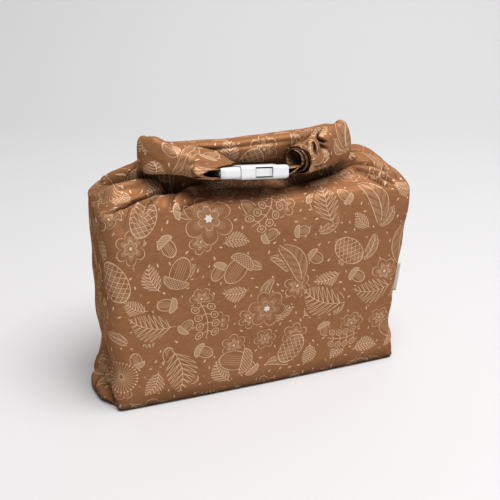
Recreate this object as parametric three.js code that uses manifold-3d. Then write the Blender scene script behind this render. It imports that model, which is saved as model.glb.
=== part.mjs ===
// Roll-top wet bag, stuffed and closed: a box of waterproof cloth whose rolled mouth
// is folded round to the front and held by a side-release buckle.
// Millimetres, +X along the bag's width, +Y to its back, +Z up, origin under the middle of its base.
import * as THREE from "three";
import { mergeVertices } from "three/addons/utils/BufferGeometryUtils.js";
import Module from "manifold-3d";

const wasm = await Module();
wasm.setup();

// Bag
const bagWidth = 277;
const bagDepth = 94;
const cornerRadius = 11;
const baseCornerRadius = 4;
const baseEdgeRadius = 4;
const sideBulge = 3;
const faceBulge = 1.5;
const topLean = 2.5;
const earReach = 12;
const earHeight = 34;
const pinchDepth = 3.5;
const pinchHeight = 47;
const shoulderHeight = 168;
const shoulderRise = 30;
const leftShoulderLift = 9;
const clothThickness = 1.2;
const liningThickness = 0.7;
const seamOffset = -10;

// Neck and roll
const neckWidth = 176;
const neckSlot = 4.6;
const foldLipRadius = 4.5;
const foldRise = 7.3;
const rollThickness = 13.5;
const rollHeight = 27;
const rollEdgeRadius = 6;
const rollGap = 2.7;
const rollLeftEnd = -96;
const rollRightEnd = 86;
const rollFoldLength = 11.5;
const rollFoldSwell = 1;
const rollEndLift = 5;
const bandThickness = 2.4;
const bandCover = 3.9;
const bandLift = 1;
const tunnelWall = 1.5;
const rightReturnDroop = 13;
const rightReturnSwell = 1.5;
const coilMouthDepth = 12;
const coilMouthHeight = 9;
const coilMouthDrop = 7;

// Buckle, for 25 mm tape
const tapeWidth = 24;
const tapeThickness = 1.2;
const tapeSlot = 4.2;
const barLength = 4.3;
const barThickness = 4;
const buckleSideWall = 4.5;
const buckleThickness = 11;
const buckleEdgeRadius = 2.5;
const buckleNose = 3;
const buckleTilt = -15;
const buckleDroop = 4;
const buckleJointX = -23.7;
const buckleDrop = 11;
const plugBridge = 7.5;
const plugThickness = 9;
const plugInset = 0.5;
const guideWidth = 5;
const guideSetback = 4;
const socketBridge = 5.6;
const socketWall = 1.8;
const windowStart = 12.2;
const windowLength = 15;
const windowWall = 1.2;
const windowPost = 9;
const armThickness = 6.2;
const armRootRadius = 1.5;
const armRootInset = 5.5;
const armTipRadius = 3.5;
const leftTabShown = 4.5;
const leftTabTucked = 3.5;
const rightTabShown = 10;
const rightTabTucked = 2;

// Side label
const labelHeight = 30;
const labelBottom = 55;
const labelReach = 16;
const labelThickness = 1;

// Gap between pieces that touch, and how far a cut runs past the surface it opens.
const clearance = 0.3;
const overcut = 1;

// Places worked out from the sizes
const neckHalfDepth = neckSlot / 2 + liningThickness + clearance + clothThickness;
const neckBottom = shoulderHeight + shoulderRise;
const rollCentreHeight = neckBottom + rollGap + rollHeight / 2;
const foldHeight = rollCentreHeight + foldRise;
const neckTop = foldHeight - foldLipRadius - clearance;
const neckX = (rollLeftEnd + rollRightEnd) / 2;
const halfRoll = rollThickness / 2;
const rollEndHeight = rollCentreHeight + rollEndLift;
const backLegRearY = -neckHalfDepth - 2.5 * clearance;
const backLegY = backLegRearY - halfRoll;
const returnRearY = backLegY - halfRoll - clearance;
const leftFoldX = rollLeftEnd + rollFoldLength;
const rightFoldX = rollRightEnd - rollFoldLength;

const tilt = THREE.MathUtils.degToRad(buckleTilt);
const droop = THREE.MathUtils.degToRad(buckleDroop);
const slotWidth = tapeWidth + 5 * clearance;
const tapeHalfGap = barThickness / 2 + clearance;
const tapeHalfSpan = tapeHalfGap + tapeThickness;
const buckleHalfWidth = tapeWidth / 2 + buckleSideWall;
const buckleHalfThickness = buckleThickness / 2;
const buckleHeight = rollCentreHeight - buckleDrop;
const buckleY =
  returnRearY - buckleHalfWidth * Math.cos(tilt) - buckleHalfThickness * Math.abs(Math.sin(tilt));
const plugLength = plugBridge + tapeSlot + barLength;
const windowEnd = windowStart + windowLength;
const socketLength = windowEnd + socketBridge + tapeSlot + barLength;

const cloth = new THREE.MeshStandardMaterial({ color: 0x9a6a43, roughness: 0.75, metalness: 0 });
const liningCloth = new THREE.MeshStandardMaterial({ color: 0xe4dccf, roughness: 0.6, metalness: 0 });
const bandCloth = new THREE.MeshStandardMaterial({ color: 0x8a5c39, roughness: 0.8, metalness: 0 });
const buckleWhite = new THREE.MeshStandardMaterial({ color: 0xeff1f4, roughness: 0.35, metalness: 0 });
const labelTape = new THREE.MeshStandardMaterial({ color: 0xcdbf9f, roughness: 0.85, metalness: 0 });

// Solids

function solidFrom(geometry) {
  const bare = geometry.index ? geometry.clone() : geometry;
  bare.deleteAttribute("normal");
  bare.deleteAttribute("uv");
  const merged = mergeVertices(bare, 1e-4);
  return new wasm.Manifold(
    new wasm.Mesh({
      numProp: 3,
      vertProperties: new Float32Array(merged.attributes.position.array),
      triVerts: new Uint32Array(merged.index.array),
    }),
  );
}

function geometryFrom(solid) {
  const mesh = solid.getMesh();
  const geometry = new THREE.BufferGeometry();
  geometry.setAttribute("position", new THREE.BufferAttribute(mesh.vertProperties, 3));
  geometry.setIndex(new THREE.BufferAttribute(mesh.triVerts, 1));
  return geometry;
}

function namedMesh(name, solid, material) {
  const mesh = new THREE.Mesh(geometryFrom(solid), material);
  mesh.name = name;
  return mesh;
}

// Box between two places on each axis, given in either order.
function box(fromX, toX, fromY, toY, fromZ, toZ) {
  const sizes = [toX - fromX, toY - fromY, toZ - fromZ].map(Math.abs);
  const geometry = new THREE.BoxGeometry(...sizes);
  geometry.translate((fromX + toX) / 2, (fromY + toY) / 2, (fromZ + toZ) / 2);
  return solidFrom(geometry);
}

// Flat outline in X and Y, made solid between two heights.
function plate(shape, lowZ, highZ) {
  const geometry = new THREE.ExtrudeGeometry(shape, {
    depth: highZ - lowZ,
    bevelEnabled: false,
    curveSegments: 8,
  });
  geometry.translate(0, 0, lowZ);
  return solidFrom(geometry);
}

// Closed solid through rings of equally many points, each ring running
// anticlockwise when seen from the ring after it.
function loft(rings) {
  const count = rings[0].length;
  const points = rings.flat();
  const index = [];
  for (let ring = 0; ring < rings.length - 1; ring++) {
    for (let i = 0; i < count; i++) {
      const here = ring * count + i;
      const next = ring * count + ((i + 1) % count);
      index.push(here, next, next + count);
      index.push(here, next + count, here + count);
    }
  }
  for (const ring of [0, rings.length - 1]) {
    const middle = points.length;
    const sum = rings[ring].reduce((total, point) => total.add(point), new THREE.Vector3());
    points.push(sum.divideScalar(count));
    for (let i = 0; i < count; i++) {
      const here = ring * count + i;
      const next = ring * count + ((i + 1) % count);
      index.push(middle, ...(ring === 0 ? [next, here] : [here, next]));
    }
  }
  const geometry = new THREE.BufferGeometry().setFromPoints(points);
  geometry.setIndex(index);
  return solidFrom(geometry);
}

// Rectangle with round corners about the origin, anticlockwise, as flat points. Corners as
// large as the rectangle stop just short of meeting, so every side keeps some length.
function roundedOutline(halfWidth, halfHeight, radius, widthSteps, heightSteps, cornerSteps) {
  const largest = 0.98 * Math.min(halfWidth, halfHeight);
  const round = Math.min(radius, largest);
  const straightX = halfWidth - round;
  const straightY = halfHeight - round;
  const points = [];
  const side = (fromX, fromY, toX, toY, steps) => {
    const from = new THREE.Vector2(fromX, fromY);
    const to = new THREE.Vector2(toX, toY);
    for (let i = 0; i < steps; i++) {
      points.push(new THREE.Vector2().lerpVectors(from, to, i / steps));
    }
  };
  const corner = (centreX, centreY, fromAngle) => {
    for (let i = 0; i < cornerSteps; i++) {
      const angle = fromAngle + (i / cornerSteps) * (Math.PI / 2);
      const arm = new THREE.Vector2(round * Math.cos(angle), round * Math.sin(angle));
      points.push(arm.add(new THREE.Vector2(centreX, centreY)));
    }
  };
  side(-straightX, -halfHeight, straightX, -halfHeight, widthSteps);
  corner(straightX, -straightY, -Math.PI / 2);
  side(halfWidth, -straightY, halfWidth, straightY, heightSteps);
  corner(straightX, straightY, 0);
  side(straightX, halfHeight, -straightX, halfHeight, widthSteps);
  corner(-straightX, straightY, Math.PI / 2);
  side(-halfWidth, straightY, -halfWidth, -straightY, heightSteps);
  corner(-straightX, -straightY, Math.PI);
  return points;
}

// Bag body

const bodyHalfWidth = bagWidth / 2 - sideBulge;
const bodyHalfDepth = bagDepth / 2 - faceBulge;
const labelTop = labelBottom + labelHeight;

// How far the top is folded in, from shoulder to neck: height, width and depth as shares.
const shoulderCurve = [
  [0, 0, 0],
  [0.15, 0, 0.02],
  [0.28, 0.02, 0.08],
  [0.38, 0.05, 0.22],
  [0.46, 0.1, 0.42],
  [0.53, 0.17, 0.62],
  [0.63, 0.31, 0.8],
  [0.78, 0.55, 0.92],
  [1, 1, 1],
];

function bagSections() {
  const sections = [];
  for (const angle of [0, Math.PI / 6, Math.PI / 3, Math.PI / 2]) {
    const inset = baseEdgeRadius * (1 - Math.sin(angle));
    sections.push({
      height: baseEdgeRadius * (1 - Math.cos(angle)),
      halfWidth: bodyHalfWidth - inset,
      halfDepth: bodyHalfDepth - inset,
    });
  }
  const wallHeights = [
    ...[0.35, 0.65, 1].map((share) => THREE.MathUtils.lerp(baseEdgeRadius, earHeight, share)),
    pinchHeight,
    labelBottom,
    labelTop,
    (labelTop + shoulderHeight) / 2,
  ];
  for (const height of wallHeights.sort((low, high) => low - high)) {
    sections.push({ height, halfWidth: bodyHalfWidth, halfDepth: bodyHalfDepth });
  }
  for (const [rise, widthShare, depthShare] of shoulderCurve) {
    sections.push({
      height: shoulderHeight + shoulderRise * rise,
      halfWidth: THREE.MathUtils.lerp(bodyHalfWidth, neckWidth / 2, widthShare),
      halfDepth: THREE.MathUtils.lerp(bodyHalfDepth, neckHalfDepth, depthShare),
    });
  }
  sections.push({ height: neckTop, halfWidth: neckWidth / 2, halfDepth: neckHalfDepth });
  return sections;
}

// How far a side wall stands out past the body's half width at one height. The boxed corners
// stand out as ears at mid depth near the base, with a pinch above them, and the walls bulge
// over the stuffing. acrossDepth is 1 at mid depth and 0 at the front and back faces.
function sideReach(height, acrossDepth, neckShare) {
  const earShare = 1 - THREE.MathUtils.smoothstep(height, baseEdgeRadius, earHeight);
  const pinchSpan = pinchHeight - baseEdgeRadius;
  const pinchShare = Math.max(0, 1 - Math.abs(height - pinchHeight) / pinchSpan);
  const bulge = sideBulge * (1 - neckShare) * acrossDepth;
  return bulge + earReach * earShare * acrossDepth ** 2 - pinchDepth * pinchShare;
}

// The top leans to the right a little over the stuffing.
function leanAt(height) {
  return topLean * THREE.MathUtils.smoothstep(height, pinchHeight, shoulderHeight);
}

// The left shoulder is pulled up higher than the right, most just inside its outer edge.
function shoulderLift(height, side) {
  const rise = THREE.MathUtils.smoothstep(height, shoulderHeight * 0.7, shoulderHeight);
  const fade = 1 - THREE.MathUtils.smoothstep(height, neckBottom, (neckBottom + neckTop) / 2);
  const leftness = Math.min(side, 0) ** 2;
  const edgeDip = 1.2 * (leftness - leftness ** 2);
  return leftShoulderLift * rise * fade * (leftness + edgeDip);
}

// Outline of the bag at one section, drawn in by inset on every side.
function bagRing({ height, halfWidth, halfDepth }, inset) {
  const upper = height > shoulderHeight / 2;
  const neckShare = THREE.MathUtils.smoothstep(height, shoulderHeight, neckBottom);
  const earShare = 1 - THREE.MathUtils.smoothstep(height, baseEdgeRadius, earHeight);
  const width = halfWidth - inset;
  const depth = halfDepth - inset;
  const radius = THREE.MathUtils.lerp(cornerRadius, baseCornerRadius, earShare) - inset;
  const shift = leanAt(height) * (1 - neckShare) + neckX * neckShare;
  return roundedOutline(width, depth, radius, 6, 4, 3).map((point) => {
    const side = point.x / width;
    const acrossDepth = 1 - (point.y / depth) ** 2;
    const acrossWidth = 1 - side ** 2;
    const swell = faceBulge * (1 - neckShare) * acrossWidth;
    return new THREE.Vector3(
      point.x + side * Math.abs(side) * sideReach(height, acrossDepth, neckShare) + shift,
      point.y + (point.y / depth) * swell,
      height + (upper ? -inset : inset) + shoulderLift(height, side),
    );
  });
}

function bagSolid(inset) {
  return loft(bagSections().map((section) => bagRing(section, inset)));
}

// Cavity for a skin of the bag: it runs out through the top of the neck.
function bagCavity(inset) {
  const sections = bagSections();
  const top = sections[sections.length - 1];
  sections.push({ ...top, height: top.height + inset + overcut });
  return loft(sections.map((section) => bagRing(section, inset)));
}

// Everything in front of, or behind, the side and base seams. The cut follows the seams up
// the sides and then steps back to run between the two layers of the neck.
function halfSpace(direction) {
  const far = direction * bagWidth;
  const gap = (direction * clearance) / 2;
  const shape = new THREE.Shape([
    new THREE.Vector2(far, -bagDepth),
    new THREE.Vector2(seamOffset + gap, -bagDepth),
    new THREE.Vector2(seamOffset + gap, shoulderHeight),
    new THREE.Vector2(gap, neckBottom),
    new THREE.Vector2(gap, neckTop * 2),
    new THREE.Vector2(far, neckTop * 2),
  ]);
  const geometry = new THREE.ExtrudeGeometry(shape, { depth: bagWidth * 2, bevelEnabled: false });
  geometry.rotateX(Math.PI / 2);
  geometry.rotateZ(Math.PI / 2);
  geometry.translate(-bagWidth, 0, 0);
  return solidFrom(geometry);
}

const front = halfSpace(-1);
const back = halfSpace(1);
const clothSkin = bagSolid(0).subtract(bagCavity(clothThickness));
const liningOutside = clothThickness + clearance;
const liningSkin = bagSolid(liningOutside).subtract(bagCavity(liningOutside + liningThickness));

const frontPanel = namedMesh("front_panel", clothSkin.intersect(front), cloth);
const backPanel = namedMesh("back_panel", clothSkin.intersect(back), cloth);
const frontLining = namedMesh("front_lining", liningSkin.intersect(front), liningCloth);
const backLining = namedMesh("back_lining", liningSkin.intersect(back), liningCloth);

// Roll

// Solid along X through stations that each give x, the rear face's y, half depth,
// middle height, half height and the turn of the section about X.
function rollSolid(stations) {
  return loft(
    stations.map(({ x, rearY, halfDepth, middle, halfHeight, turn = 0 }) => {
      const cos = Math.cos(turn);
      const sin = Math.sin(turn);
      const centreY = rearY - halfDepth * cos - halfHeight * Math.abs(sin);
      return roundedOutline(halfDepth, halfHeight, rollEdgeRadius, 1, 2, 3).map((point) => {
        const y = centreY + point.x * cos - point.y * sin;
        const z = middle + point.x * sin + point.y * cos;
        return new THREE.Vector3(x, y, z);
      });
    }),
  );
}

// Two stations that round off the right end of a leg: how far along the fold they lie and
// how deep they are. The legs lie against each other, so the back leg is drawn in from
// behind and the front one from the front.
function roundedEnd(rearY, front) {
  return [
    [0.6, 0.82],
    [1, 0.45],
  ].map(([along, share]) => ({
    x: rightFoldX + rollFoldLength * along,
    rearY: front ? rearY : rearY - rollThickness * (1 - share),
    halfDepth: halfRoll * share,
    middle: rollEndHeight,
    halfHeight: (rollHeight / 2) * THREE.MathUtils.lerp(1, share, 0.3),
  }));
}

// Space inside the coil that the two mouth bands fill, with room left round them.
function bandRoom(room) {
  const middle = rollCentreHeight + bandLift;
  const halfHeight = rollHeight / 2 - bandCover;
  return {
    lowX: leftFoldX + clearance,
    highX: rightFoldX - clearance + room,
    lowY: backLegY - bandThickness - clearance / 2 - room,
    highY: backLegY + bandThickness + clearance / 2 + room,
    lowZ: middle - halfHeight - room,
    highZ: middle + halfHeight + room,
  };
}

// Back leg: the long straight stretch, with the cloth that runs over the fold from the neck.
function backLegSolid() {
  const straight = { rearY: backLegRearY, halfDepth: halfRoll, halfHeight: rollHeight / 2 };
  const leg = rollSolid([
    { ...straight, x: leftFoldX + clearance, middle: rollEndHeight },
    { ...straight, x: leftFoldX / 2, middle: rollCentreHeight },
    { ...straight, x: rightFoldX / 2, middle: rollCentreHeight },
    { ...straight, x: rightFoldX, middle: rollEndHeight },
    ...roundedEnd(backLegRearY, false),
  ]);
  const lip = new THREE.CylinderGeometry(foldLipRadius, foldLipRadius, neckWidth, 16);
  lip.rotateZ(Math.PI / 2);
  lip.translate(neckX, 0, foldHeight);
  const bridge = box(
    neckX - neckWidth / 2,
    neckX + neckWidth / 2,
    backLegY,
    -foldLipRadius / 2,
    foldHeight - foldLipRadius / 2,
    foldHeight + foldLipRadius / 2,
  );
  const lipEnds = box(leftFoldX + clearance, rightFoldX, -bagDepth, bagDepth, 0, neckTop * 2);
  const core = bandRoom(clearance);
  const cavity = box(
    core.lowX - overcut,
    core.highX,
    core.lowY,
    core.highY,
    core.lowZ,
    core.highZ,
  );
  return leg.add(solidFrom(lip).add(bridge).intersect(lipEnds)).subtract(cavity);
}

// Mouth bands: the two stiffened hems of the mouth, flat inside the coil.
function bandSolid(side) {
  const room = bandRoom(0);
  const innerY = backLegY + (side * clearance) / 2;
  const outerY = innerY + side * bandThickness;
  return box(room.lowX, room.highX, innerY, outerY, room.lowZ, room.highZ);
}

// Turns and moves a solid from the buckle's own frame into its place on the bag. In that
// frame X runs along the buckle from the joint between plug and socket, Y across it and Z
// through its thickness.
function placeWithBuckle(solid) {
  const geometry = geometryFrom(solid);
  geometry.rotateX(tilt);
  geometry.rotateY(droop);
  geometry.translate(buckleJointX, buckleY, buckleHeight);
  return solidFrom(geometry);
}

// Room for a tab's two layers inside an end of the roll.
function tabPocket(fromX, toX) {
  const halfHeight = tapeHalfSpan + clearance;
  return placeWithBuckle(
    box(fromX, toX, -slotWidth / 2, slotWidth / 2, -halfHeight, halfHeight),
  );
}

// How far the rear of a section lies in front of the back leg's face once it is centred.
function setbackTo(centreY, halfDepth, halfHeight, turn) {
  return returnRearY - halfDepth * Math.cos(turn) - halfHeight * Math.abs(Math.sin(turn)) - centreY;
}

// Left end: the fold round the end of the back leg and the return in front of it, which
// flattens and turns towards the buckle and ends in an open tunnel for the tab.
function leftReturnSolid() {
  const foldHalfDepth = rollThickness + clearance / 2;
  const foldShape = [
    [0, 0.5, 0.8],
    [0.35, 0.86, 0.95],
    [1, 1, 1],
  ];
  const fold = rollSolid(
    foldShape.map(([along, depthShare, heightShare]) => ({
      x: rollLeftEnd + (rollFoldLength - clearance) * along,
      rearY: backLegRearY - foldHalfDepth * (1 - depthShare),
      halfDepth: foldHalfDepth * depthShare,
      middle: rollEndHeight,
      halfHeight: (rollHeight / 2 + rollFoldSwell) * heightShare,
    })),
  );
  const start = rollLeftEnd + rollFoldLength / 2;
  const end = buckleJointX - plugLength - leftTabShown;
  const endHeight = buckleHeight + (buckleJointX - end) * Math.tan(droop);
  const tunnelHalfHeight = tapeHalfSpan + clearance + tunnelWall;
  const tunnelHalfDepth = slotWidth / 2 + tunnelWall;
  const setback = setbackTo(buckleY, tunnelHalfDepth, tunnelHalfHeight, tilt);
  const shape = [
    [0, 0, 0, 0],
    [0.22, 0.05, 0.01, 0.05],
    [0.43, 0.3, 0.1, 0.33],
    [0.64, 0.6, 0.29, 0.65],
    [0.8, 0.9, 0.7, 0.92],
    [0.88, 1, 1, 1],
    [1, 1, 1, 1],
  ];
  const leg = rollSolid(
    shape.map(([along, deepened, lowered, flattened]) => ({
      x: THREE.MathUtils.lerp(start, end, along),
      rearY: returnRearY - setback * lowered,
      halfDepth: THREE.MathUtils.lerp(halfRoll, tunnelHalfDepth, deepened),
      middle: THREE.MathUtils.lerp(rollEndHeight, endHeight, lowered),
      halfHeight: THREE.MathUtils.lerp(rollHeight / 2, tunnelHalfHeight, flattened),
      turn: tilt * lowered,
    })),
  );
  const tabEnd = -plugLength - leftTabShown - leftTabTucked;
  const pocket = tabPocket(tabEnd - clearance, overcut - plugLength - leftTabShown);
  return fold.add(leg).subtract(pocket);
}

// Right end: it runs from the right fold back to the buckle, drooping and opening out, and
// shows the open middle of the coil at its end.
function rightReturnSolid() {
  const end = buckleJointX + socketLength + rightTabShown;
  const openHalfDepth = slotWidth / 2 + 1.5 * tunnelWall;
  const setback = setbackTo(buckleY, openHalfDepth, 0, 0);
  const shape = [
    [0, 1, 1, 1],
    [0.22, 0.8, 0.75, 0.8],
    [0.5, 0.45, 0.38, 1],
    [0.75, 0.25, 0.15, 1],
    [1, 0, 0, 0],
  ];
  const leg = shape.map(([along, opened, lowered, swollen]) => ({
    x: THREE.MathUtils.lerp(end, rightFoldX, along),
    rearY: returnRearY - setback * lowered,
    halfDepth: THREE.MathUtils.lerp(halfRoll, openHalfDepth, opened),
    middle: rollEndHeight - rightReturnDroop * lowered,
    halfHeight: rollHeight / 2 + rightReturnSwell * swollen,
  }));
  const coilMouth = new THREE.CylinderGeometry(1, 1, 2 * rollThickness, 10);
  coilMouth.rotateZ(Math.PI / 2);
  coilMouth.scale(1, coilMouthDepth / 2, coilMouthHeight / 2);
  const endTop = rollEndHeight - rightReturnDroop + rollHeight / 2;
  coilMouth.translate(end, buckleY, endTop - coilMouthDrop);
  const tabEnd = socketLength + rightTabShown + rightTabTucked;
  const pocket = tabPocket(socketLength + rightTabShown - overcut, tabEnd + clearance);
  return rollSolid([...leg, ...roundedEnd(returnRearY, true)])
    .subtract(solidFrom(coilMouth))
    .subtract(pocket);
}

// Buckle

// Round-edged block along the buckle whose ends narrow to the given shares.
function buckleBlock(fromX, toX, halfWidth, halfThickness, startShare, endShare) {
  const stations = [
    [fromX, startShare],
    [fromX + buckleNose, 1],
    [toX - buckleNose, 1],
    [toX, endShare],
  ];
  return loft(
    stations.map(([x, share]) => {
      const outline = roundedOutline(
        halfWidth * share,
        halfThickness * share,
        buckleEdgeRadius,
        1,
        1,
        3,
      );
      return outline.map((point) => new THREE.Vector3(x, point.x, point.y));
    }),
  );
}

// Cut for the tape at an end of the buckle: a slot right through, and a bar at the end that
// is thinner than the rest, so that the tape's turn lies within the buckle's thickness.
// outwards is 1 where the end faces +X and -1 where it faces -X.
function tapeCut(end, outwards) {
  const halfWidth = slotWidth / 2;
  const barInside = end - outwards * barLength;
  const slotInside = barInside - outwards * tapeSlot;
  const slot = box(slotInside, barInside, -halfWidth, halfWidth, -buckleThickness, buckleThickness);
  const past = end + outwards * overcut;
  const reliefs = [-1, 1].map((side) => {
    const barFace = (side * barThickness) / 2;
    return box(barInside, past, -halfWidth, halfWidth, barFace, side * buckleThickness);
  });
  return slot.add(reliefs[0]).add(reliefs[1]);
}

// Round seat in the plug's end face for the root of a latch arm.
const armRootOffset = buckleHalfWidth - socketWall - armRootInset;

function armRootSeat(side) {
  const radius = armRootRadius + clearance;
  const seat = new THREE.CylinderGeometry(radius, radius, buckleThickness, 16);
  seat.rotateX(Math.PI / 2);
  seat.translate(0, side * armRootOffset, 0);
  return solidFrom(seat);
}

// Plug: the block with the left bar, and the guide that runs into the socket.
function plugSolid() {
  const halfWidth = buckleHalfWidth - plugInset;
  const body = buckleBlock(-plugLength, 0, halfWidth, plugThickness / 2, 0.92, 0.97);
  const halfGuide = guideWidth / 2;
  const guideEnd = windowEnd - guideSetback;
  const guide = box(-overcut, guideEnd, -halfGuide, halfGuide, -halfGuide, halfGuide);
  return body
    .subtract(tapeCut(-plugLength, -1))
    .add(guide)
    .subtract(armRootSeat(1))
    .subtract(armRootSeat(-1));
}

// Socket: a sleeve round the guide and arms, with a window in each side for a latch pad.
// A post between the windows closes the sleeve's far end.
function socketSolid() {
  const body = buckleBlock(clearance, socketLength, buckleHalfWidth, buckleHalfThickness, 1, 0.9);
  const cavityHalfWidth = buckleHalfWidth - socketWall;
  const cavityHalfHeight = armThickness / 2 + clearance;
  const cavity = box(
    -overcut,
    windowEnd,
    -cavityHalfWidth,
    cavityHalfWidth,
    -cavityHalfHeight,
    cavityHalfHeight,
  );
  const windowHalfHeight = buckleHalfThickness - windowWall;
  const windows = [-1, 1].map((side) =>
    box(
      windowStart,
      windowEnd,
      (side * windowPost) / 2,
      side * (buckleHalfWidth + overcut),
      -windowHalfHeight,
      windowHalfHeight,
    ),
  );
  return body
    .subtract(cavity)
    .subtract(windows[0])
    .subtract(windows[1])
    .subtract(tapeCut(socketLength, 1));
}

// Latch arm: it springs from the plug's end face and its pad fills the socket's window,
// catching on the window's near edge.
function armSolid(side) {
  const innerY = armRootOffset - armRootRadius;
  const outerY = armRootOffset + armRootRadius;
  const padY = buckleHalfWidth - clearance;
  const padStart = windowStart + clearance;
  const tip = windowEnd - clearance;
  const shape = new THREE.Shape();
  shape.moveTo(0, innerY);
  shape.lineTo(tip - armRootRadius, innerY);
  shape.lineTo(tip, innerY + armRootRadius);
  shape.absarc(tip - armTipRadius, padY - armTipRadius, armTipRadius, 0, Math.PI / 2, false);
  shape.lineTo(padStart, padY);
  shape.lineTo(padStart, outerY);
  shape.lineTo(0, outerY);
  const root = new THREE.CylinderGeometry(armRootRadius, armRootRadius, armThickness, 16);
  root.rotateX(Math.PI / 2);
  root.translate(0, armRootOffset, 0);
  const arm = plate(shape, -armThickness / 2, armThickness / 2).add(solidFrom(root));
  return side > 0 ? arm : arm.mirror([0, 1, 0]);
}

// Tab: a strip of cloth looped round a buckle bar, with both layers running into the roll.
function tabSolid(barEnd, outwards, length) {
  const halfWidth = tapeWidth / 2;
  const loopInside = barEnd - outwards * (barLength + clearance);
  const loopOutside = loopInside - outwards * tapeThickness;
  const far = barEnd + outwards * length;
  const loop = box(loopOutside, loopInside, -halfWidth, halfWidth, -tapeHalfSpan, tapeHalfSpan);
  const layers = [-1, 1].map((side) =>
    box(loopOutside, far, -halfWidth, halfWidth, side * tapeHalfGap, side * tapeHalfSpan),
  );
  return loop.add(layers[0]).add(layers[1]);
}

const backLeg = namedMesh("roll_back_leg", backLegSolid(), cloth);
const leftReturn = namedMesh("roll_left_return", leftReturnSolid(), cloth);
const rightReturn = namedMesh("roll_right_return", rightReturnSolid(), cloth);
const frontBand = namedMesh("mouth_band_front", bandSolid(-1), bandCloth);
const backBand = namedMesh("mouth_band_back", bandSolid(1), bandCloth);

const buckle = new THREE.Group();
buckle.position.set(buckleJointX, buckleY, buckleHeight);
buckle.rotation.set(tilt, droop, 0, "YXZ");
buckle.add(
  namedMesh("buckle_plug", plugSolid(), buckleWhite),
  namedMesh("latch_arm_front", armSolid(-1), buckleWhite),
  namedMesh("latch_arm_back", armSolid(1), buckleWhite),
  namedMesh("buckle_socket", socketSolid(), buckleWhite),
  namedMesh("left_tab", tabSolid(-plugLength, -1, leftTabShown + leftTabTucked), cloth),
  namedMesh("right_tab", tabSolid(socketLength, 1, rightTabShown + rightTabTucked), cloth),
);

// Side label: a folded tape whose root turns in the right side seam and follows its slope.
function labelSolid(height) {
  const half = labelThickness / 2;
  const shape = new THREE.Shape();
  shape.absarc(0, 0, half, Math.PI / 2, (Math.PI * 3) / 2);
  shape.lineTo(labelReach, -half);
  shape.lineTo(labelReach, half);
  return plate(shape, 0, height);
}

function seamXAt(height) {
  const acrossDepth = 1 - (seamOffset / bodyHalfDepth) ** 2;
  return bodyHalfWidth + sideReach(height, acrossDepth, 0) + leanAt(height);
}

const seamRun = seamXAt(labelTop) - seamXAt(labelBottom);
const label = namedMesh("side_label", labelSolid(Math.hypot(seamRun, labelHeight)), labelTape);
label.position.set(
  seamXAt(labelBottom) + clearance + labelThickness / 2,
  seamOffset,
  labelBottom,
);
label.rotation.y = Math.atan2(seamRun, labelHeight);

const bag = new THREE.Group();
bag.add(frontPanel, backPanel, frontLining, backLining, backLeg, leftReturn, rightReturn);
bag.add(frontBand, backBand, buckle, label);

export default bag;
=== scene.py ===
# Roll-top wet bag, stuffed and closed: brown printed cloth with its rolled mouth folded round
# to the front and buckled. Sizes are in millimetres and meshes are made in metres.
import math
import bpy
import numpy as np
from mathutils import Matrix, Vector


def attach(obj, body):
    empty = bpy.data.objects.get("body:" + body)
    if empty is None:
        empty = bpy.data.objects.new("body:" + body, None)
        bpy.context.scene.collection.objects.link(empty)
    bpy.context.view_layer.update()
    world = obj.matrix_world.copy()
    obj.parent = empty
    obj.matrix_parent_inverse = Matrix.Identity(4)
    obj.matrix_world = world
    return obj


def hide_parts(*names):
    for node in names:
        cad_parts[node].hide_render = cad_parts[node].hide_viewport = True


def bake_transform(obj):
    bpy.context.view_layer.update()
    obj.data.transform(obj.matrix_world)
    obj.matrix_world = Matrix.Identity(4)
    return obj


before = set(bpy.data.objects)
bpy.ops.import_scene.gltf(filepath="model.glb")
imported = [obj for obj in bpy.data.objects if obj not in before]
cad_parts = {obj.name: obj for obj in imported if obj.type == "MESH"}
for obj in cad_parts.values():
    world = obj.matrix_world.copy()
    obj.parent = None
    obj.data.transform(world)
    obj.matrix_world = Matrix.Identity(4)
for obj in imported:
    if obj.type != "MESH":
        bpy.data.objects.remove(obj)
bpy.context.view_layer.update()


# Studio: the bag stands on a pale seamless paper sweep under a soft light high in front and
# to the right, with white fill all round. Photographed from above its left side.
photo_width = 500
photo_middle = photo_width / 2
photo_focal = 715
sensor_width = 36
camera_place = np.array([-196.0, -563.4, 380.2])
camera_forward = np.array([0.3036, 0.8624, -0.4051])
camera_data = bpy.data.cameras.new("camera")
camera_data.sensor_width = sensor_width
camera_data.lens = sensor_width * photo_focal / photo_width
camera = bpy.data.objects.new("camera", camera_data)
camera.location = camera_place / 1000
camera.rotation_mode = "QUATERNION"
camera.rotation_quaternion = Vector(camera_forward).to_track_quat("-Z", "Y")
bpy.context.scene.collection.objects.link(camera)
bpy.context.scene.camera = camera
bpy.context.scene.view_settings.view_transform = "Standard"


class Amount:
    """A number that nodes work out, which can be reckoned with like any other number."""

    def __init__(self, wires, socket):
        self.wires = wires
        self.socket = socket
        self.node = socket.node

    def __add__(self, other):
        return self.wires.do("ADD", self, other)

    def __sub__(self, other):
        return self.wires.do("SUBTRACT", self, other)

    def __rsub__(self, other):
        return self.wires.do("SUBTRACT", other, self)

    def __mul__(self, other):
        return self.wires.do("MULTIPLY", self, other)

    def __truediv__(self, other):
        return self.wires.do("DIVIDE", self, other)

    def __pow__(self, other):
        return self.wires.do("POWER", self, other)

    __radd__ = __add__
    __rmul__ = __mul__


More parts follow.
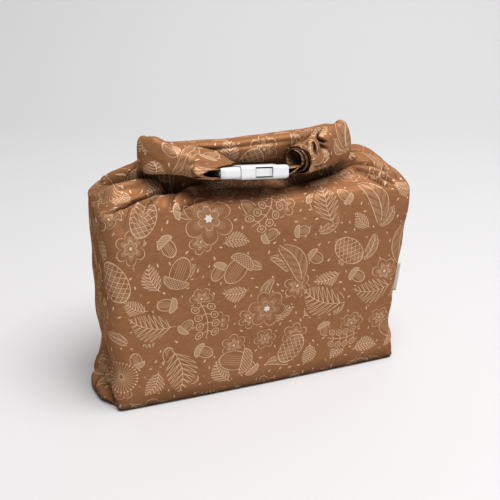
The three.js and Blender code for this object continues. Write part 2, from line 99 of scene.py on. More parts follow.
class Wiring:
    """Makes and joins the nodes of a material, or of the room."""

    def __init__(self, owner):
        owner.use_nodes = True
        self.tree = owner.node_tree
        self.shader = self.tree.nodes.get("Principled BSDF")

    def add(self, kind, **settings):
        node = self.tree.nodes.new(kind)
        for key, value in settings.items():
            setattr(node, key, value)
        return node

    def feed(self, socket, value):
        if isinstance(value, Amount):
            value = value.socket
        if isinstance(value, bpy.types.NodeSocket):
            self.tree.links.new(value, socket)
        else:
            socket.default_value = value

    def do(self, operation, *values):
        node = self.add("ShaderNodeMath", operation=operation)
        for socket, value in zip(node.inputs, values):
            self.feed(socket, value)
        return Amount(self, node.outputs[0])

    def split(self, vector):
        node = self.add("ShaderNodeSeparateXYZ")
        self.feed(node.inputs[0], vector)
        return [Amount(self, socket) for socket in node.outputs]

    def join(self, *values):
        node = self.add("ShaderNodeCombineXYZ")
        for socket, value in zip(node.inputs, values):
            self.feed(socket, value)
        return node.outputs[0]

    def noise(self, place, scale, detail=2, dimensions="3D"):
        node = self.add("ShaderNodeTexNoise", noise_dimensions=dimensions)
        self.feed(node.inputs["Vector"], place)
        node.inputs["Scale"].default_value = scale
        node.inputs["Detail"].default_value = detail
        return Amount(self, node.outputs["Fac"])

    def tint(self, share, first, second, **settings):
        node = self.add("ShaderNodeMix", data_type="RGBA", **settings)
        self.feed(node.inputs["Factor"], share)
        self.feed(node.inputs["A"], first)
        self.feed(node.inputs["B"], second)
        return node.outputs["Result"]

    def colour(self, value):
        self.feed(self.shader.inputs["Base Color"], value)

    def relief(self, height, strength, distance):
        node = self.add("ShaderNodeBump")
        node.inputs["Strength"].default_value = strength
        node.inputs["Distance"].default_value = distance
        self.feed(node.inputs["Height"], height)
        self.feed(self.shader.inputs["Normal"], node.outputs[0])


# the paper lies flat, bends up behind the bag and runs on upwards
paper_half_width = 60
paper_front = -30000
paper_bend = 900
paper_top = 3000
sweep_profile = [(paper_front, 0), (paper_bend, 0)]
for step in range(1, 13):
    turn = step / 12 * math.pi / 2
    sweep_profile.append((paper_bend * (1 + math.sin(turn)), paper_bend * (1 - math.cos(turn))))
sweep_profile.append((2 * paper_bend, paper_top))
sweep_points = []
for x in (-paper_half_width, paper_half_width):
    sweep_points += [(x, y / 1000, z / 1000) for y, z in sweep_profile]
sweep_faces = []
for step in range(len(sweep_profile) - 1):
    other = step + len(sweep_profile)
    sweep_faces.append((step, other, other + 1, step + 1))
sweep_mesh = bpy.data.meshes.new("paper_sweep")
sweep_mesh.from_pydata(sweep_points, [], sweep_faces)
sweep_mesh.polygons.foreach_set("use_smooth", [True] * len(sweep_faces))
sweep = bpy.data.objects.new("paper_sweep", sweep_mesh)
sweep.rotation_euler.z = math.radians(-19.4)
bpy.context.scene.collection.objects.link(sweep)
paper = bpy.data.materials.new("studio paper")
paper_wires = Wiring(paper)
paper_place = paper_wires.add("ShaderNodeTexCoord")
# painted light: the paper's colour is made a little lighter from 0.2 to 1.5 m back, to set how bright
# the far paper looks
paper_far_painted_light = paper_wires.add("ShaderNodeMapRange", interpolation_type="SMOOTHSTEP")
paper_far_painted_light.inputs["From Min"].default_value = 0.2
paper_far_painted_light.inputs["From Max"].default_value = 1.5
paper_wires.feed(paper_far_painted_light.inputs["Value"], paper_wires.split(paper_place.outputs["Object"])[1])
near_paper = (0.575, 0.567, 0.567, 1)
far_paper_painted_light = (0.60, 0.595, 0.595, 1)
paper_wires.colour(paper_wires.tint(paper_far_painted_light.outputs["Result"], near_paper, far_paper_painted_light))
paper_wires.shader.inputs["Roughness"].default_value = 0.7
sweep_mesh.materials.append(paper)

softbox_data = bpy.data.lights.new("softbox", "AREA")
softbox_data.shape = "DISK"
softbox_data.size = 2.0
softbox_data.energy = 99
softbox = bpy.data.objects.new("softbox", softbox_data)
softbox.location = (0.4, -0.8, 2.5)
softbox.rotation_mode = "QUATERNION"
softbox.rotation_quaternion = (Vector((0, 0, 0.1)) - softbox.location).to_track_quat("-Z", "Y")
bpy.context.scene.collection.objects.link(softbox)

room = bpy.data.worlds.new("white room")
room_wires = Wiring(room)
room_place = room_wires.add("ShaderNodeTexCoord")
room_rise = room_wires.add("ShaderNodeVectorMath", operation="DOT_PRODUCT")
room_wires.feed(room_rise.inputs[0], room_place.outputs["Generated"])
room_rise.inputs[1].default_value = (0.16, -0.06, 0.26)
room_light = room_wires.tree.nodes["Background"]
room_level = room_wires.do("ADD", room_rise.outputs["Value"], 0.185)
room_wires.feed(room_light.inputs["Strength"], room_level)
room_light.inputs["Color"].default_value = (0.98, 0.98, 1.0, 1)
bpy.context.scene.world = room


# Cloth of the bag: a smooth satin-backed knit dyed mid brown, printed with fine cream line
# drawings of ferns, feathers, cones, flowers and seed heads. Fabric coordinates are in
# millimetres in the "fabric" map, so the print has one scale on every piece.
class Pen(Wiring):
    """Draws with nodes: masks that are 1 on a line or a patch and 0 elsewhere."""

    def below(self, value, limit, soft=0.25):
        """1 where value is under limit, 0 where it is over, with a soft edge."""
        node = self.add("ShaderNodeMapRange", interpolation_type="LINEAR", clamp=True)
        self.feed(node.inputs["Value"], value)
        self.feed(node.inputs["From Min"], limit - soft / 2)
        self.feed(node.inputs["From Max"], limit + soft / 2)
        node.inputs["To Min"].default_value = 1
        node.inputs["To Max"].default_value = 0
        return Amount(self, node.outputs[0])

    def line(self, distance, width):
        return self.below(self.do("ABSOLUTE", distance), width)

    def stripes(self, value, period, width):
        """Lines one period apart across a value that grows in millimetres."""
        return self.line(self.do("WRAP", value, period, 0.0) - period / 2, width)

    def any(self, *masks):
        total = masks[0]
        for mask in masks[1:]:
            total = self.do("MAXIMUM", total, mask)
        return total


def cell_place(pen, u, v, width, height, jitter, seed, smallest, largest):
    """Place within a brick-like layout of motifs: x and y from each motif's middle, turned
    and sized at random, with a random number for each motif."""
    row = pen.do("FLOOR", v / height)
    shifted = u + pen.do("WRAP", row, 2.0, 0.0) * (width / 2)
    column = pen.do("FLOOR", shifted / width)
    chance = pen.add("ShaderNodeTexWhiteNoise", noise_dimensions="3D")
    pen.feed(chance.inputs["Vector"], pen.join(column, row, seed))
    drawn = pen.add("ShaderNodeSeparateColor")
    pen.feed(drawn.inputs[0], chance.outputs["Color"])
    right, up, turn = [Amount(pen, socket) for socket in drawn.outputs]
    x = (right - 0.5) * jitter + (pen.do("WRAP", shifted, width, 0.0) - width / 2)
    y = (up - 0.5) * jitter + (pen.do("WRAP", v, height, 0.0) - height / 2)
    turned = pen.add("ShaderNodeVectorRotate", rotation_type="Z_AXIS")
    pen.feed(turned.inputs["Vector"], pen.join(x, y))
    pen.feed(turned.inputs["Angle"], turn * (2 * math.pi))
    x, y, _ = pen.split(turned.outputs[0])
    size = up * (largest - smallest) + smallest
    return x / size, y / size, Amount(pen, chance.outputs["Value"])


def drawings(pen, x, y, thin):
    """Line drawings round one middle: for each its lines and the area it covers."""
    below, line, stripes = pen.below, pen.line, pen.stripes
    r = pen.do("SQRT", x * x + y * y)
    angle = pen.do("ARCTAN2", y, x)
    side = pen.do("ABSOLUTE", x)
    bent = pen.do("ABSOLUTE", x - y * y * 0.014)
    reach = 1.0 - (y / 19.0) ** 2.0

    def tall(low, high):
        return below(y, high) * below(y * -1.0, -low)

    def oval(half_x, half_y, up):
        return pen.do("SQRT", (x / half_x) ** 2.0 + ((y - up) / half_y) ** 2.0)

    # fern: pairs of leaflets on a bent stalk
    leaflets = pen.any(stripes(y - bent * 0.7, 4.6, thin), stripes(y - bent * 1.05, 4.6, thin))
    fern_width = reach * 12.0
    fern = pen.any(leaflets * below(bent, fern_width, 0.5), below(bent, thin))
    fern_cover = below(bent, fern_width + 2.0) * tall(-20, 20)

    # feather: bowed outline, quill and fine barbs with gaps
    vane = pen.do("SQRT", pen.do("MAXIMUM", reach, 0.0)) * 7.6
    barbs = stripes(y - bent * 1.3, 1.5, 0.5 * thin)
    gap = below(pen.do("SINE", y * 0.8 + side), 0.6)
    feather = pen.any(
        line(bent - vane, thin) * tall(-18.4, 18.6),
        barbs * gap * below(bent, vane, 0.4) * tall(-17, 18),
        below(bent, 1.1 * thin) * tall(-22, 17),
    )
    feather_cover = below(bent, vane + 1.6) * tall(-20, 20)

    # cone: an oval covered in crossing scales, with a short stalk
    cone_oval = oval(10.0, 15.5, 0.0)
    scales = pen.any(
        stripes(y + x * 0.8, 4.7, 0.9 * thin),
        stripes(y - x * 0.8, 4.7, 0.9 * thin),
        stripes(y, 1.17, 0.4 * thin) * below(side, 4.2),
    )
    cone = pen.any(
        line((cone_oval - 1.0) * 11.0, thin),
        scales * below(cone_oval, 1.0, 0.04),
        line(side - 0.9, thin) * tall(15.4, 20),
    )
    cone_cover = below(cone_oval, 1.12, 0.02)

    # open flower seen from above: two rounds of petals, vein lines and an eye
    petal = pen.do("ABSOLUTE", pen.do("COSINE", angle * 3.0))
    petal_edge = petal ** 0.45 * 10.0 + 8.6
    inner_edge = petal ** 0.6 * 4.0 + 4.4
    veins = stripes(angle * 14.0, 14 * 2 * math.pi / 54, 0.45 * thin)
    flower = pen.any(
        line(r - petal_edge, thin),
        line(r - inner_edge, 0.8 * thin),
        veins * below(r, petal * 8.0 + 5.5) * below(3.2, r),
        below(r, 2.0),
    )
    flower_cover = below(r, petal_edge + 1.4)

    # seed head: fine spokes that end in dots, on a bent stalk
    spoke = (pen.do("WRAP", angle, 2 * math.pi / 30, 0.0) - math.pi / 30) * r
    seed_dots = pen.do("SQRT", spoke * spoke + (r - 15.4) ** 2.0)
    seed_head = pen.any(
        line(spoke, 0.6 * thin) * below(r, 14.6) * below(2.6, r),
        below(seed_dots, 0.8),
        line(r - 2.4, thin),
        below(bent, thin) * tall(-22, -15),
    )
    seed_cover = below(r, 17.2)

    # berry twig: ringed berries on both sides of a stalk
    berry_y = pen.do("WRAP", y, 7.4, 0.0) - 3.7
    berry = pen.do("SQRT", (bent - 6.2) ** 2.0 + berry_y * berry_y)
    twig = line(berry_y + 2.6 - bent * 0.5, thin)
    berries = pen.any(
        line(berry - 2.8, thin),
        line(berry - 0.9, 0.7 * thin),
        twig * below(bent, 4.2),
        below(bent, thin),
    ) * tall(-18.4, 14.8)
    berries_cover = below(bent, 10.4) * tall(-16.0, 16.0)

    # acorn: a nut with long lines in a cross-hatched cup
    nut_oval = oval(8.0, 11.5, -3.0)
    cup_oval = oval(10.4, 7.4, 4.0)
    over_rim = below(y * -1.0, -3.2)
    under_rim = below(y, 3.2)
    hatch = pen.any(stripes(x + y, 2.5, 0.7 * thin), stripes(x - y, 2.5, 0.7 * thin))
    nut_lines = stripes(x + 0.9, 1.8, 0.4 * thin) * below(side, 4.4)
    acorn = pen.any(
        line((nut_oval - 1.0) * 9.0, thin) * under_rim,
        line((cup_oval - 1.0) * 9.0, thin) * over_rim,
        line(y - 3.2, thin) * below(side, 10.2),
        hatch * below(cup_oval, 1.0, 0.04) * over_rim,
        nut_lines * under_rim * below(nut_oval, 1.0, 0.04),
        line(bent - 0.8, thin) * tall(11.2, 16),
    )
    acorn_cover = pen.any(below(nut_oval, 1.12, 0.02), below(cup_oval, 1.1, 0.02))

    # snail shell: a ribbed spiral
    winding = r / 4.0 - angle / (2 * math.pi)
    within = pen.do("WRAP", winding, 1.0, 0.0) - 0.5
    ribs = stripes(r * 0.4 + angle * 9.0, 9 * 2 * math.pi / 34, 0.5 * thin)
    shell = pen.any(
        line(within * 4.0, thin) * below(r, 14.0),
        ribs * below(r, 14.0) * below(5.6, r),
        line(r - 14.0, thin),
    )
    shell_cover = below(r, 15.4)
    return [
        (fern, fern_cover), (flower, flower_cover), (feather, feather_cover), (acorn, acorn_cover),
        (cone, cone_cover), (seed_head, seed_cover), (berries, berries_cover), (shell, shell_cover),
    ]


def print_masks(pen, u, v):
    """Masks of the print's cream lines, and of the flowers' hearts, filled in white."""
    line_width = 0.26
    lines = 0.0
    covered = 0.0
    layers = [
        # cell width and height, wandering, seed, smallest and largest size, drawings used
        (52.0, 45.0, 3.0, 1.0, 0.92, 1.22, [0, 1, 2, 3, 4, 5, 6, 7]),
        (29.0, 25.0, 2.0, 5.0, 0.54, 0.70, [0, 3, 1, 2]),
    ]
    for number, (width, height, jitter, seed, smallest, largest, used) in enumerate(layers):
        x, y, pick = cell_place(pen, u, v, width, height, jitter, seed, smallest, largest)
        drawn = drawings(pen, x, y, line_width / ((smallest + largest) / 2))
        chosen = pen.do("FLOOR", pick * float(len(used)))
        layer_lines = 0.0
        layer_cover = 0.0
        for place, drawing in enumerate(used):
            share = pen.do("COMPARE", chosen, float(place), 0.5)
            body, cover = drawn[drawing]
            layer_cover = layer_cover + cover * share
            layer_lines = layer_lines + body * cover * share
        if number == 0:
            heart_r = pen.do("SQRT", x * x + y * y)
            heart_petal = pen.do("ABSOLUTE", pen.do("COSINE", pen.do("ARCTAN2", y, x) * 3.0))
            is_flower = pen.do("COMPARE", chosen, 1.0, 0.5)
        lines = lines + layer_lines * (1.0 - covered)
        covered = pen.do("MAXIMUM", covered, layer_cover)

    # seeds and dashes scattered in what is left
    x, y, pick = cell_place(pen, u, v, 9.5, 8.0, 3.0, 9.0, 0.7, 1.1)
    dash = pen.below(pen.do("SQRT", x * x * 6.0 + y * y), 1.6) * pen.below(pick, 0.6)
    lines = lines + dash * (1.0 - covered)
    hearts = pen.below(heart_r, 3.4 - heart_petal * 1.2) * is_flower
    return pen.do("MINIMUM", lines, 1.0), hearts


def cloth_material(name, printed=True):
    material = bpy.data.materials.new(name)
    pen = Pen(material)
    fabric = pen.add("ShaderNodeUVMap", uv_map="fabric")
    scaled = pen.add("ShaderNodeVectorMath", operation="SCALE")
    pen.feed(scaled.inputs[0], fabric.outputs[0])
    scaled.inputs["Scale"].default_value = 1000
    place = scaled.outputs[0]
    u, v, _ = pen.split(place)

    # dye takes unevenly over a few centimetres, and thread by thread
    cloudy = pen.noise(place, 0.035, 4, "2D")
    threads = pen.noise(place, 1.9, 2, "2D")
    colour = pen.tint(cloudy, (0.345, 0.149, 0.065, 1), (0.434, 0.202, 0.097, 1))
    colour = pen.tint(0.22, colour, threads.node.outputs["Color"], blend_type="MULTIPLY")
    streaks = pen.noise(pen.join(u * 0.16, v * 0.8), 1.0, 3, "2D")
    colour = pen.tint(0.35, colour, streaks, blend_type="MULTIPLY")
    if printed:
        lines, hearts = print_masks(pen, u, v)
        colour = pen.tint(lines * 0.9, colour, (0.72, 0.495, 0.32, 1))
        colour = pen.tint(hearts, colour, (0.78, 0.69, 0.61, 1))

    # painted shade: the base colour is darkened in deep creases, gaps and nooks, by the ambient
    # occlusion found within 18 mm, where little light reaches; far less on the plain wrong side of
    # the cloth
    painted_crease_shade = pen.add("ShaderNodeAmbientOcclusion", samples=6)
    painted_crease_shade.inputs["Distance"].default_value = 0.018
    darkest_painted_shade = 0.12 if printed else 0.7
    painted_shade_share = Amount(pen, painted_crease_shade.outputs["AO"]) ** 1.8 * (1 - darkest_painted_shade) + darkest_painted_shade
    pen.colour(pen.tint(1.0, colour, painted_shade_share, blend_type="MULTIPLY"))

    # knit ribs about half a millimetre apart, and soft crumples
    rib_width = 0.55
    course_height = 0.7
    ribs = pen.do("SINE", u * (2 * math.pi / rib_width))
    courses = pen.do("SINE", v * (2 * math.pi / course_height))
    crumple = pen.noise(place, 0.06, 3, "2D")
    crumple.node.inputs["Distortion"].default_value = 0.6
    pen.relief(crumple * 2.2 + (ribs * courses + threads) * 0.05, 0.5, 0.001)
    pen.feed(pen.shader.inputs["Roughness"], cloudy * 0.10 + 0.40)
    pen.shader.inputs["Metallic"].default_value = 0.22
    pen.shader.inputs["Specular IOR Level"].default_value = 0.0
    pen.shader.inputs["Specular Tint"].default_value = (0.45, 0.25, 0.15, 1)
    return material


printed_cloth = cloth_material("printed cloth")
plain_cloth = cloth_material("wrong side of the cloth", printed=False)


# Bag: two panels of the printed cloth, sewn together down the middle of each side and under
# the base, with boxed corners that stand out as ears. The stuffing rounds it, and the top is
# folded in like a parcel to a flat neck that runs up into the roll.
half_width = 135.5
half_depth = 45.5
base_round = 4
base_corner = 6
wall_corner = 11
shoulder = 168
neck_bottom = 198
neck_top = 226.4
neck_half_width = 88
neck_half_depth = 4.1
neck_corner = 4
neck_taper = 9
neck_closing = 2.9
neck_lean = 3.6
neck_x = -5
side_seam_y = -10
cloth_thickness = 0.7
# the neck and the lip are drawn up to this height, and then follow the roll's top line
level_top = 227.7


def smoothstep(low, high, value):
    share = np.clip((np.asarray(value, float) - low) / (high - low), 0, 1)
    return share * share * (3 - 2 * share)


def mix(a, b, share):
    return a + (b - a) * share


def unit(vectors):
    """The same directions, one long."""
    return vectors / np.maximum(np.linalg.norm(vectors, axis=-1, keepdims=True), 1e-9)


def seen_at(points):
    """Where points appear in the photograph, in its pixels."""
    forward = unit(camera_forward)
    right = unit(np.cross(forward, [0, 0, 1]))
    up = np.cross(right, forward)
    away = points - camera_place
    depth = away @ forward
    across = photo_middle + photo_focal * (away @ right) / depth
    down = photo_middle - photo_focal * (away @ up) / depth
    return np.stack([across, down], axis=-1)


def lengths_along(points, axis=0):
    """Distance travelled along rows of points, at each point."""
    steps = np.linalg.norm(np.diff(points, axis=axis), axis=-1)
    return np.insert(np.cumsum(steps, axis=axis), 0, 0, axis=axis)


def eased(values, window, mode="edge", **more):
    """Values with their corners rounded off over a window of so many steps."""
    blur = np.hanning(window) / np.hanning(window).sum()
    return np.convolve(np.pad(values, window // 2, mode=mode, **more), blur, "valid")


def along_line(places, line):
    """Distance from a bent line, signed, and how far along it, for each place."""
    line = np.array(line, float)
    best = np.full(places.shape[:-1], 1e9)
    signed = np.zeros_like(best)
    share = np.zeros_like(best)
    travelled = lengths_along(line)
    for number in range(len(line) - 1):
        start = line[number]
        run = line[number + 1] - start
        t = np.clip(((places - start) @ run) / (run @ run), 0, 1)
        offset = places - (start + t[..., None] * run)
        distance = np.linalg.norm(offset, axis=-1)
        nearer = distance < best
        turn = np.sign(offset[..., 0] * run[1] - offset[..., 1] * run[0])
        best = np.where(nearer, distance, best)
        signed = np.where(nearer, distance * turn, signed)
        reached = mix(travelled[number], travelled[number + 1], t)
        share = np.where(nearer, reached / travelled[-1], share)
    return signed, share


def fading(share, start, end):
    """Strength along a line, which starts and ends at shares of its full strength."""
    return mix(start, 1, smoothstep(0, 0.3, share)) * mix(end, 1, smoothstep(1, 0.7, share))


def fold(places, line, height, width, start, end):
    """A ridge, or a furrow if height is below 0, that starts and ends at shares of its height."""
    signed, share = along_line(places, line)
    ends = fading(share, start, end)
    return height * ends * np.exp(-((signed / width) ** 2))


def folds(places, several):
    """Several folds together: for each its line, height, width and shares at its ends."""
    return sum(fold(places, *one) for one in several)


def short_folds(places, several):
    """Straight folds that start strong and fade: for each its two ends, height and width."""
    return sum(fold(places, line, height, width, 0.8, 0.0) for *line, height, width in several)


def lap(places, line, height, gap, slide, start, end):
    """An edge of cloth that lies over what is on its right side when walked along, with a
    narrow gap under it: how far the cloth rises, and how far it slides down over the gap."""
    signed, share = along_line(places, line)
    ends = fading(share, start, end)
    over = height * np.exp(-np.maximum(signed, 0) / 4)
    under = -gap * np.exp(-((np.maximum(-signed, 0) / 2.2) ** 2))
    above = smoothstep(-0.4, 0.4, signed)
    slid = slide * above * np.exp(-np.maximum(signed, 0) / 6)
    return ends * mix(under, over, above), ends * slid


def cloth_sheet(name, grid, fabric, thickness, material, closed=False):
    """Cloth as a mesh through rows of points, with fabric coordinates in millimetres."""
    rows, columns = grid.shape[:2]
    points = (grid / 1000).reshape(-1, 3)
    reach = columns if closed else columns - 1
    row_starts = np.arange(rows - 1)[:, None] * columns
    here = row_starts + np.arange(reach)
    beside = row_starts + (np.arange(reach) + 1) % columns
    corners = np.stack([here, beside, beside + columns, here + columns], axis=-1).reshape(-1, 4)
    mesh = bpy.data.meshes.new(name)
    mesh.from_pydata(points.tolist(), [], corners.tolist())
    spread = np.stack([
        fabric[:-1, :reach],
        fabric[:-1, 1:reach + 1],
        fabric[1:, 1:reach + 1],
        fabric[1:, :reach],
    ], axis=2)
    layer = mesh.uv_layers.new(name="fabric")
    layer.data.foreach_set("uv", (spread / 1000).reshape(-1))
    mesh.polygons.foreach_set("use_smooth", [True] * len(mesh.polygons))
    mesh.materials.append(material)
    sheet = bpy.data.objects.new(name, mesh)
    bpy.context.scene.collection.objects.link(sheet)
    if thickness:
        solid = sheet.modifiers.new("cloth thickness", "SOLIDIFY")
        solid.thickness = thickness / 1000
        solid.offset = -1
    return sheet


def facing(grid, closed=False):
    """Outward direction of a sheet at each point of its grid."""
    down_rows = np.gradient(grid, axis=0)
    if closed:
        along = (np.roll(grid, -1, axis=1) - np.roll(grid, 1, axis=1)) / 2
    else:
        along = np.gradient(grid, axis=1)
    return unit(np.cross(along, down_rows))


def ripples(grid, wavelength, seed):
    """Smooth uneven swelling of about -1 to 1, made of a few crossing waves."""
    chance = np.random.default_rng(seed)
    total = np.zeros(grid.shape[:2])
    for _ in range(9):
        direction = unit(chance.normal(size=3))
        phase = chance.uniform(0, 2 * math.pi)
        length = wavelength * chance.uniform(0.7, 1.5)
        total += np.sin(grid @ direction * 2 * math.pi / length + phase)
    return total / 4


def crown_height(x):
    """Top line of the roll over the neck, which dips between its two risen ends."""
    spots = [-92, -89, -82, -77, -71, -65, -49, -14, 0, 28, 51, 65, 81]
    tops = [231.5, 231.3, 230.0, 227.2, 224.4, 223.8, 223.5, 222.4, 222.9, 224.1, 224.6, 226.4, 228.8]
    fine = np.linspace(-92, 81, 347)
    return np.interp(x, fine, eased(np.interp(fine, spots, tops), 15))


def panel_rows():
    """Height, half width, half depth, corner radius and share of the base, row by row."""
    rows = []
    for share in np.linspace(0, 1, 8, endpoint=False):
        rows.append((0, half_width - base_round, half_depth - base_round, base_corner, share))
    for turn in np.linspace(0, math.pi / 2, 4):
        inset = base_round * (1 - math.sin(turn))
        height = base_round * (1 - math.cos(turn))
        rows.append((height, half_width - inset, half_depth - inset, base_corner, 1))
    for height in np.arange(6.5, shoulder, 2.6):
        rows.append((height, half_width, half_depth, wall_corner, 1))
    rises = [0, 0.15, 0.28, 0.38, 0.46, 0.53, 0.63, 0.78, 1]
    widths = [0, 0, 0.02, 0.05, 0.1, 0.17, 0.31, 0.55, 1]
    depths = [0, 0.02, 0.08, 0.22, 0.42, 0.62, 0.8, 0.92, 1]
    shares = np.linspace(0, 1, 400)
    width_share = eased(np.interp(shares, rises, widths), 45)
    depth_share = eased(np.interp(shares, rises, depths), 45)
    # rows lie evenly along the cloth, as it curves over the shoulders
    step = np.sqrt(
        (np.gradient(shares) * (neck_bottom - shoulder)) ** 2
        + (np.gradient(depth_share) * 41) ** 2
        + (np.gradient(width_share) * 47) ** 2
    )
    travelled = np.cumsum(step)
    for distance in np.linspace(0, travelled[-1], 110):
        share = np.interp(distance, travelled, shares)
        rows.append((
            mix(shoulder, neck_bottom, share),
            mix(half_width, neck_half_width, np.interp(share, shares, width_share)),
            mix(half_depth, neck_half_depth, np.interp(share, shares, depth_share)),
            mix(wall_corner, neck_corner, share),
            1,
        ))
    for height in np.linspace(neck_bottom + 2, neck_top, 12):
        taper = neck_taper * (height - neck_bottom) / (neck_top - neck_bottom)
        closing = neck_closing * smoothstep(212, neck_top, height)
        rows.append((height, neck_half_width - taper, neck_half_depth - closing, neck_corner, 1))
    return np.array(rows, float)


def panel_grid(facing_y):
    """Points and fabric coordinates of one panel, from side seam to side seam."""
    rows = panel_rows()
    height, width, depth, radius, base = [rows[:, [part]] for part in range(5)]
    radius = np.minimum(radius, 0.98 * depth)
    neck_share = smoothstep(shoulder, neck_bottom, height)
    seam = mix(side_seam_y, 0, np.clip((height - shoulder) / (neck_bottom - shoulder), 0, 1))
    straight_x = width - radius
    straight_y = facing_y * (depth - radius)
    side_steps, face_steps = (20, 221) if facing_y < 0 else (26, 129)
    side = np.linspace(0, 1, side_steps, endpoint=False)[None, :]
    turn = np.linspace(0, math.pi / 2, 13, endpoint=False)[None, :]
    face = np.linspace(-1, 1, face_steps)[None, :]
    left_x = [-width * np.ones_like(side), -straight_x - radius * np.cos(turn)]
    left_y = [mix(seam, straight_y, side), straight_y + facing_y * radius * np.sin(turn)]
    right_x = [-part[:, ::-1] for part in left_x[::-1]]
    right_y = [part[:, ::-1] for part in left_y[::-1]]
    x = np.concatenate(left_x + [straight_x * face] + right_x, axis=1)
    y = np.concatenate(left_y + [facing_y * depth * np.ones_like(face)] + right_y, axis=1)

    # the ends bulge, with ears at the boxed corners and a pinch above them
    side_share = x / width
    across_depth = 1 - (y / depth) ** 2
    bulge = 3 * (1 - neck_share) * across_depth
    ears = 12 * (1 - smoothstep(6, 30, height)) * across_depth ** 2
    pinch = 3.2 * smoothstep(0, 1, np.maximum(0, 1 - np.abs(height - 39) / 26))
    reach = bulge + ears - pinch

    # the bag leans to the right, its faces swell and its left shoulder stands higher
    lean = 2.5 * smoothstep(47, shoulder, height)
    swell = 1.5 * (1 - neck_share) * (1 - side_share ** 2)
    leftness = np.minimum(side_share, 0) ** 2
    lift = 9 * smoothstep(0.7 * shoulder, shoulder, height)
    lift = lift * (1 - smoothstep(neck_bottom, neck_bottom + 9.5, height))
    lift = lift * (leftness + 1.2 * (leftness - leftness ** 2))
    x = x + side_share * np.abs(side_share) * reach + lean * (1 - neck_share) + neck_x * neck_share
    y = y + (y / depth) * swell
    z = height + lift

    # beyond the ends of the neck the folded layers fill the shoulders, whose corners are round
    beyond = smoothstep(80, 104, np.abs(x)) * smoothstep(180, 190, height)
    beyond = beyond * smoothstep(199, 196, height)
    y = y * (1 + 1.3 * beyond)
    heap_x = np.where(x < 0, (x + 96) / 20, (x - 114) / 25)
    heap_y = (y - 6) / 27
    heap_height = np.where(x < 0, 4.5, 13.0) * smoothstep(160, 176, height)
    z = z + heap_height * np.exp(-(heap_x ** 2) - heap_y ** 2)
    sunk = 0.08 * smoothstep(88, 100, -x) + 0.26 * smoothstep(120, 138, -x)
    z = z - np.maximum(z - 160, 0) * sunk
    y = y * (1 - 0.06 * smoothstep(150, 172, height) * smoothstep(186, 172, height))

    # the top of the neck follows the roll, leans into it and is cut down at its corners
    z = z - (level_top - crown_height(x)) * smoothstep(neck_bottom, neck_top, height)
    z = z - 6 * smoothstep(66, 79, np.abs(x - neck_x)) * smoothstep(210, neck_top, height)
    y = y - neck_lean * smoothstep(212, neck_top, height)

    # the right wall hangs in over its lower half and stands out at its top
    hang_heights = [0, 16, 33, 50, 68, 85, 102, 120, 137, 154, 171, 186]
    hangs = [1, -1.8, -1.4, -3.3, -4.3, -3.2, -0.9, 0.9, 1.4, 2.2, 3.8, 3.0]
    hang = np.interp(height, hang_heights, hangs)
    x = x + hang * smoothstep(0.7, 1, side_share) * smoothstep(5, -25, y)

    # under the base the cloth runs in to the base seam
    x = x * mix(0.93, 1, base)
    y = mix(side_seam_y, y, base)
    grid = np.stack([x, y, z * np.ones_like(x)], axis=-1)

    middle = grid.shape[1] // 2
    around = lengths_along(grid, 1)
    upward = lengths_along(grid[:, middle])[:, None]
    u, v = np.broadcast_arrays(around - around[:, [middle]], upward - half_depth)
    return grid, np.stack([u, v], axis=-1)


def shoulder_folds(grid):
    """How far the top rises or sinks in its folds, placed where the photograph shows them, in
    its pixels, and how far it slides down where one fold lies over the next."""
    seen = seen_at(grid)
    x, y, z = np.moveaxis(grid, -1, 0)
    left = smoothstep(-40, -60, x) * smoothstep(138, 150, z)
    outer = left * smoothstep(88, 100, seen[..., 0])
    out = outer * folds(seen, [
        ([(96, 195), (114, 189), (135, 184.5), (162, 180)], 4.0, 4.0, 0.2, 0.7),
        ([(97, 179.5), (118, 177), (135, 175), (164, 173)], -14.0, 3.2, 0.3, 1.0),
        ([(148, 201), (158, 195), (166, 189)], -4.5, 2.6, 0.2, 0.8),
    ])
    edge = [(107, 213), (122, 205), (135, 198.5), (148, 193), (164, 185)]
    rise, slid = lap(seen, edge, 2.5, 8.0, 4.0, 0.1, 0.8)
    out += outer * rise
    slide = outer * slid
    hollow = np.linalg.norm((seen - (173, 179)) / (1.2, 1), axis=-1)
    out += left * -19 * np.exp(-((hollow / 8.5) ** 2))
    out += left * fold(seen, [(184, 179), (200, 180), (220, 181)], -5.0, 4.0, 0.9, 0.0)
    front = left * smoothstep(-18, -32, y)
    out += front * short_folds(seen, [
        ((179, 209), (201, 198), -3.6, 2.3),
        ((200, 199), (226, 188), -3.2, 2.8),
        ((176, 200), (190, 190), 3.4, 4.0),
        ((186, 212), (222, 197), 2.6, 3.6),
        ((160, 196), (150, 222), 2.8, 4.0),
        ((146, 202), (137, 226), -2.8, 2.6),
        ((138, 205), (128, 234), 2.6, 3.2),
        ((127, 209), (120, 232), -3.4, 2.0),
        ((120, 213), (111, 240), 2.4, 2.8),
        ((113, 215), (104, 238), -1.8, 2.0),
        ((172, 198), (166, 218), -2.6, 2.6),
    ])
    right = smoothstep(60, 78, x) * smoothstep(140, 152, z)
    inner = right * smoothstep(411, 399, seen[..., 0])
    for line in [
        [(348, 162), (371, 162), (383, 167), (396, 175), (404, 181)],
        [(356, 168), (378, 173), (391, 179), (397, 185)],
        [(362, 171), (380, 180), (392, 187)],
    ]:
        rise, slid = lap(seen, line, 1.9, 4.5, 1.2, 0.5, 0.2)
        out += inner * rise
        slide += inner * slid
    under_roll = smoothstep(-60, -40, x) * smoothstep(76, 60, x) * smoothstep(160, 172, z)
    furrow = [(205, 180), (250, 184), (300, 178), (342, 168)]
    out += under_roll * fold(seen, furrow, -2.5, 6.0, 0.2, 0.2)
    gathered = smoothstep(20, 32, x) * smoothstep(160, 172, z)
    deep_fold = [(284, 178), (306, 174), (332, 168), (350, 159)]
    out += gathered * fold(seen, deep_fold, -13.0, 3.6, 0.1, 0.3)
    return out, slide


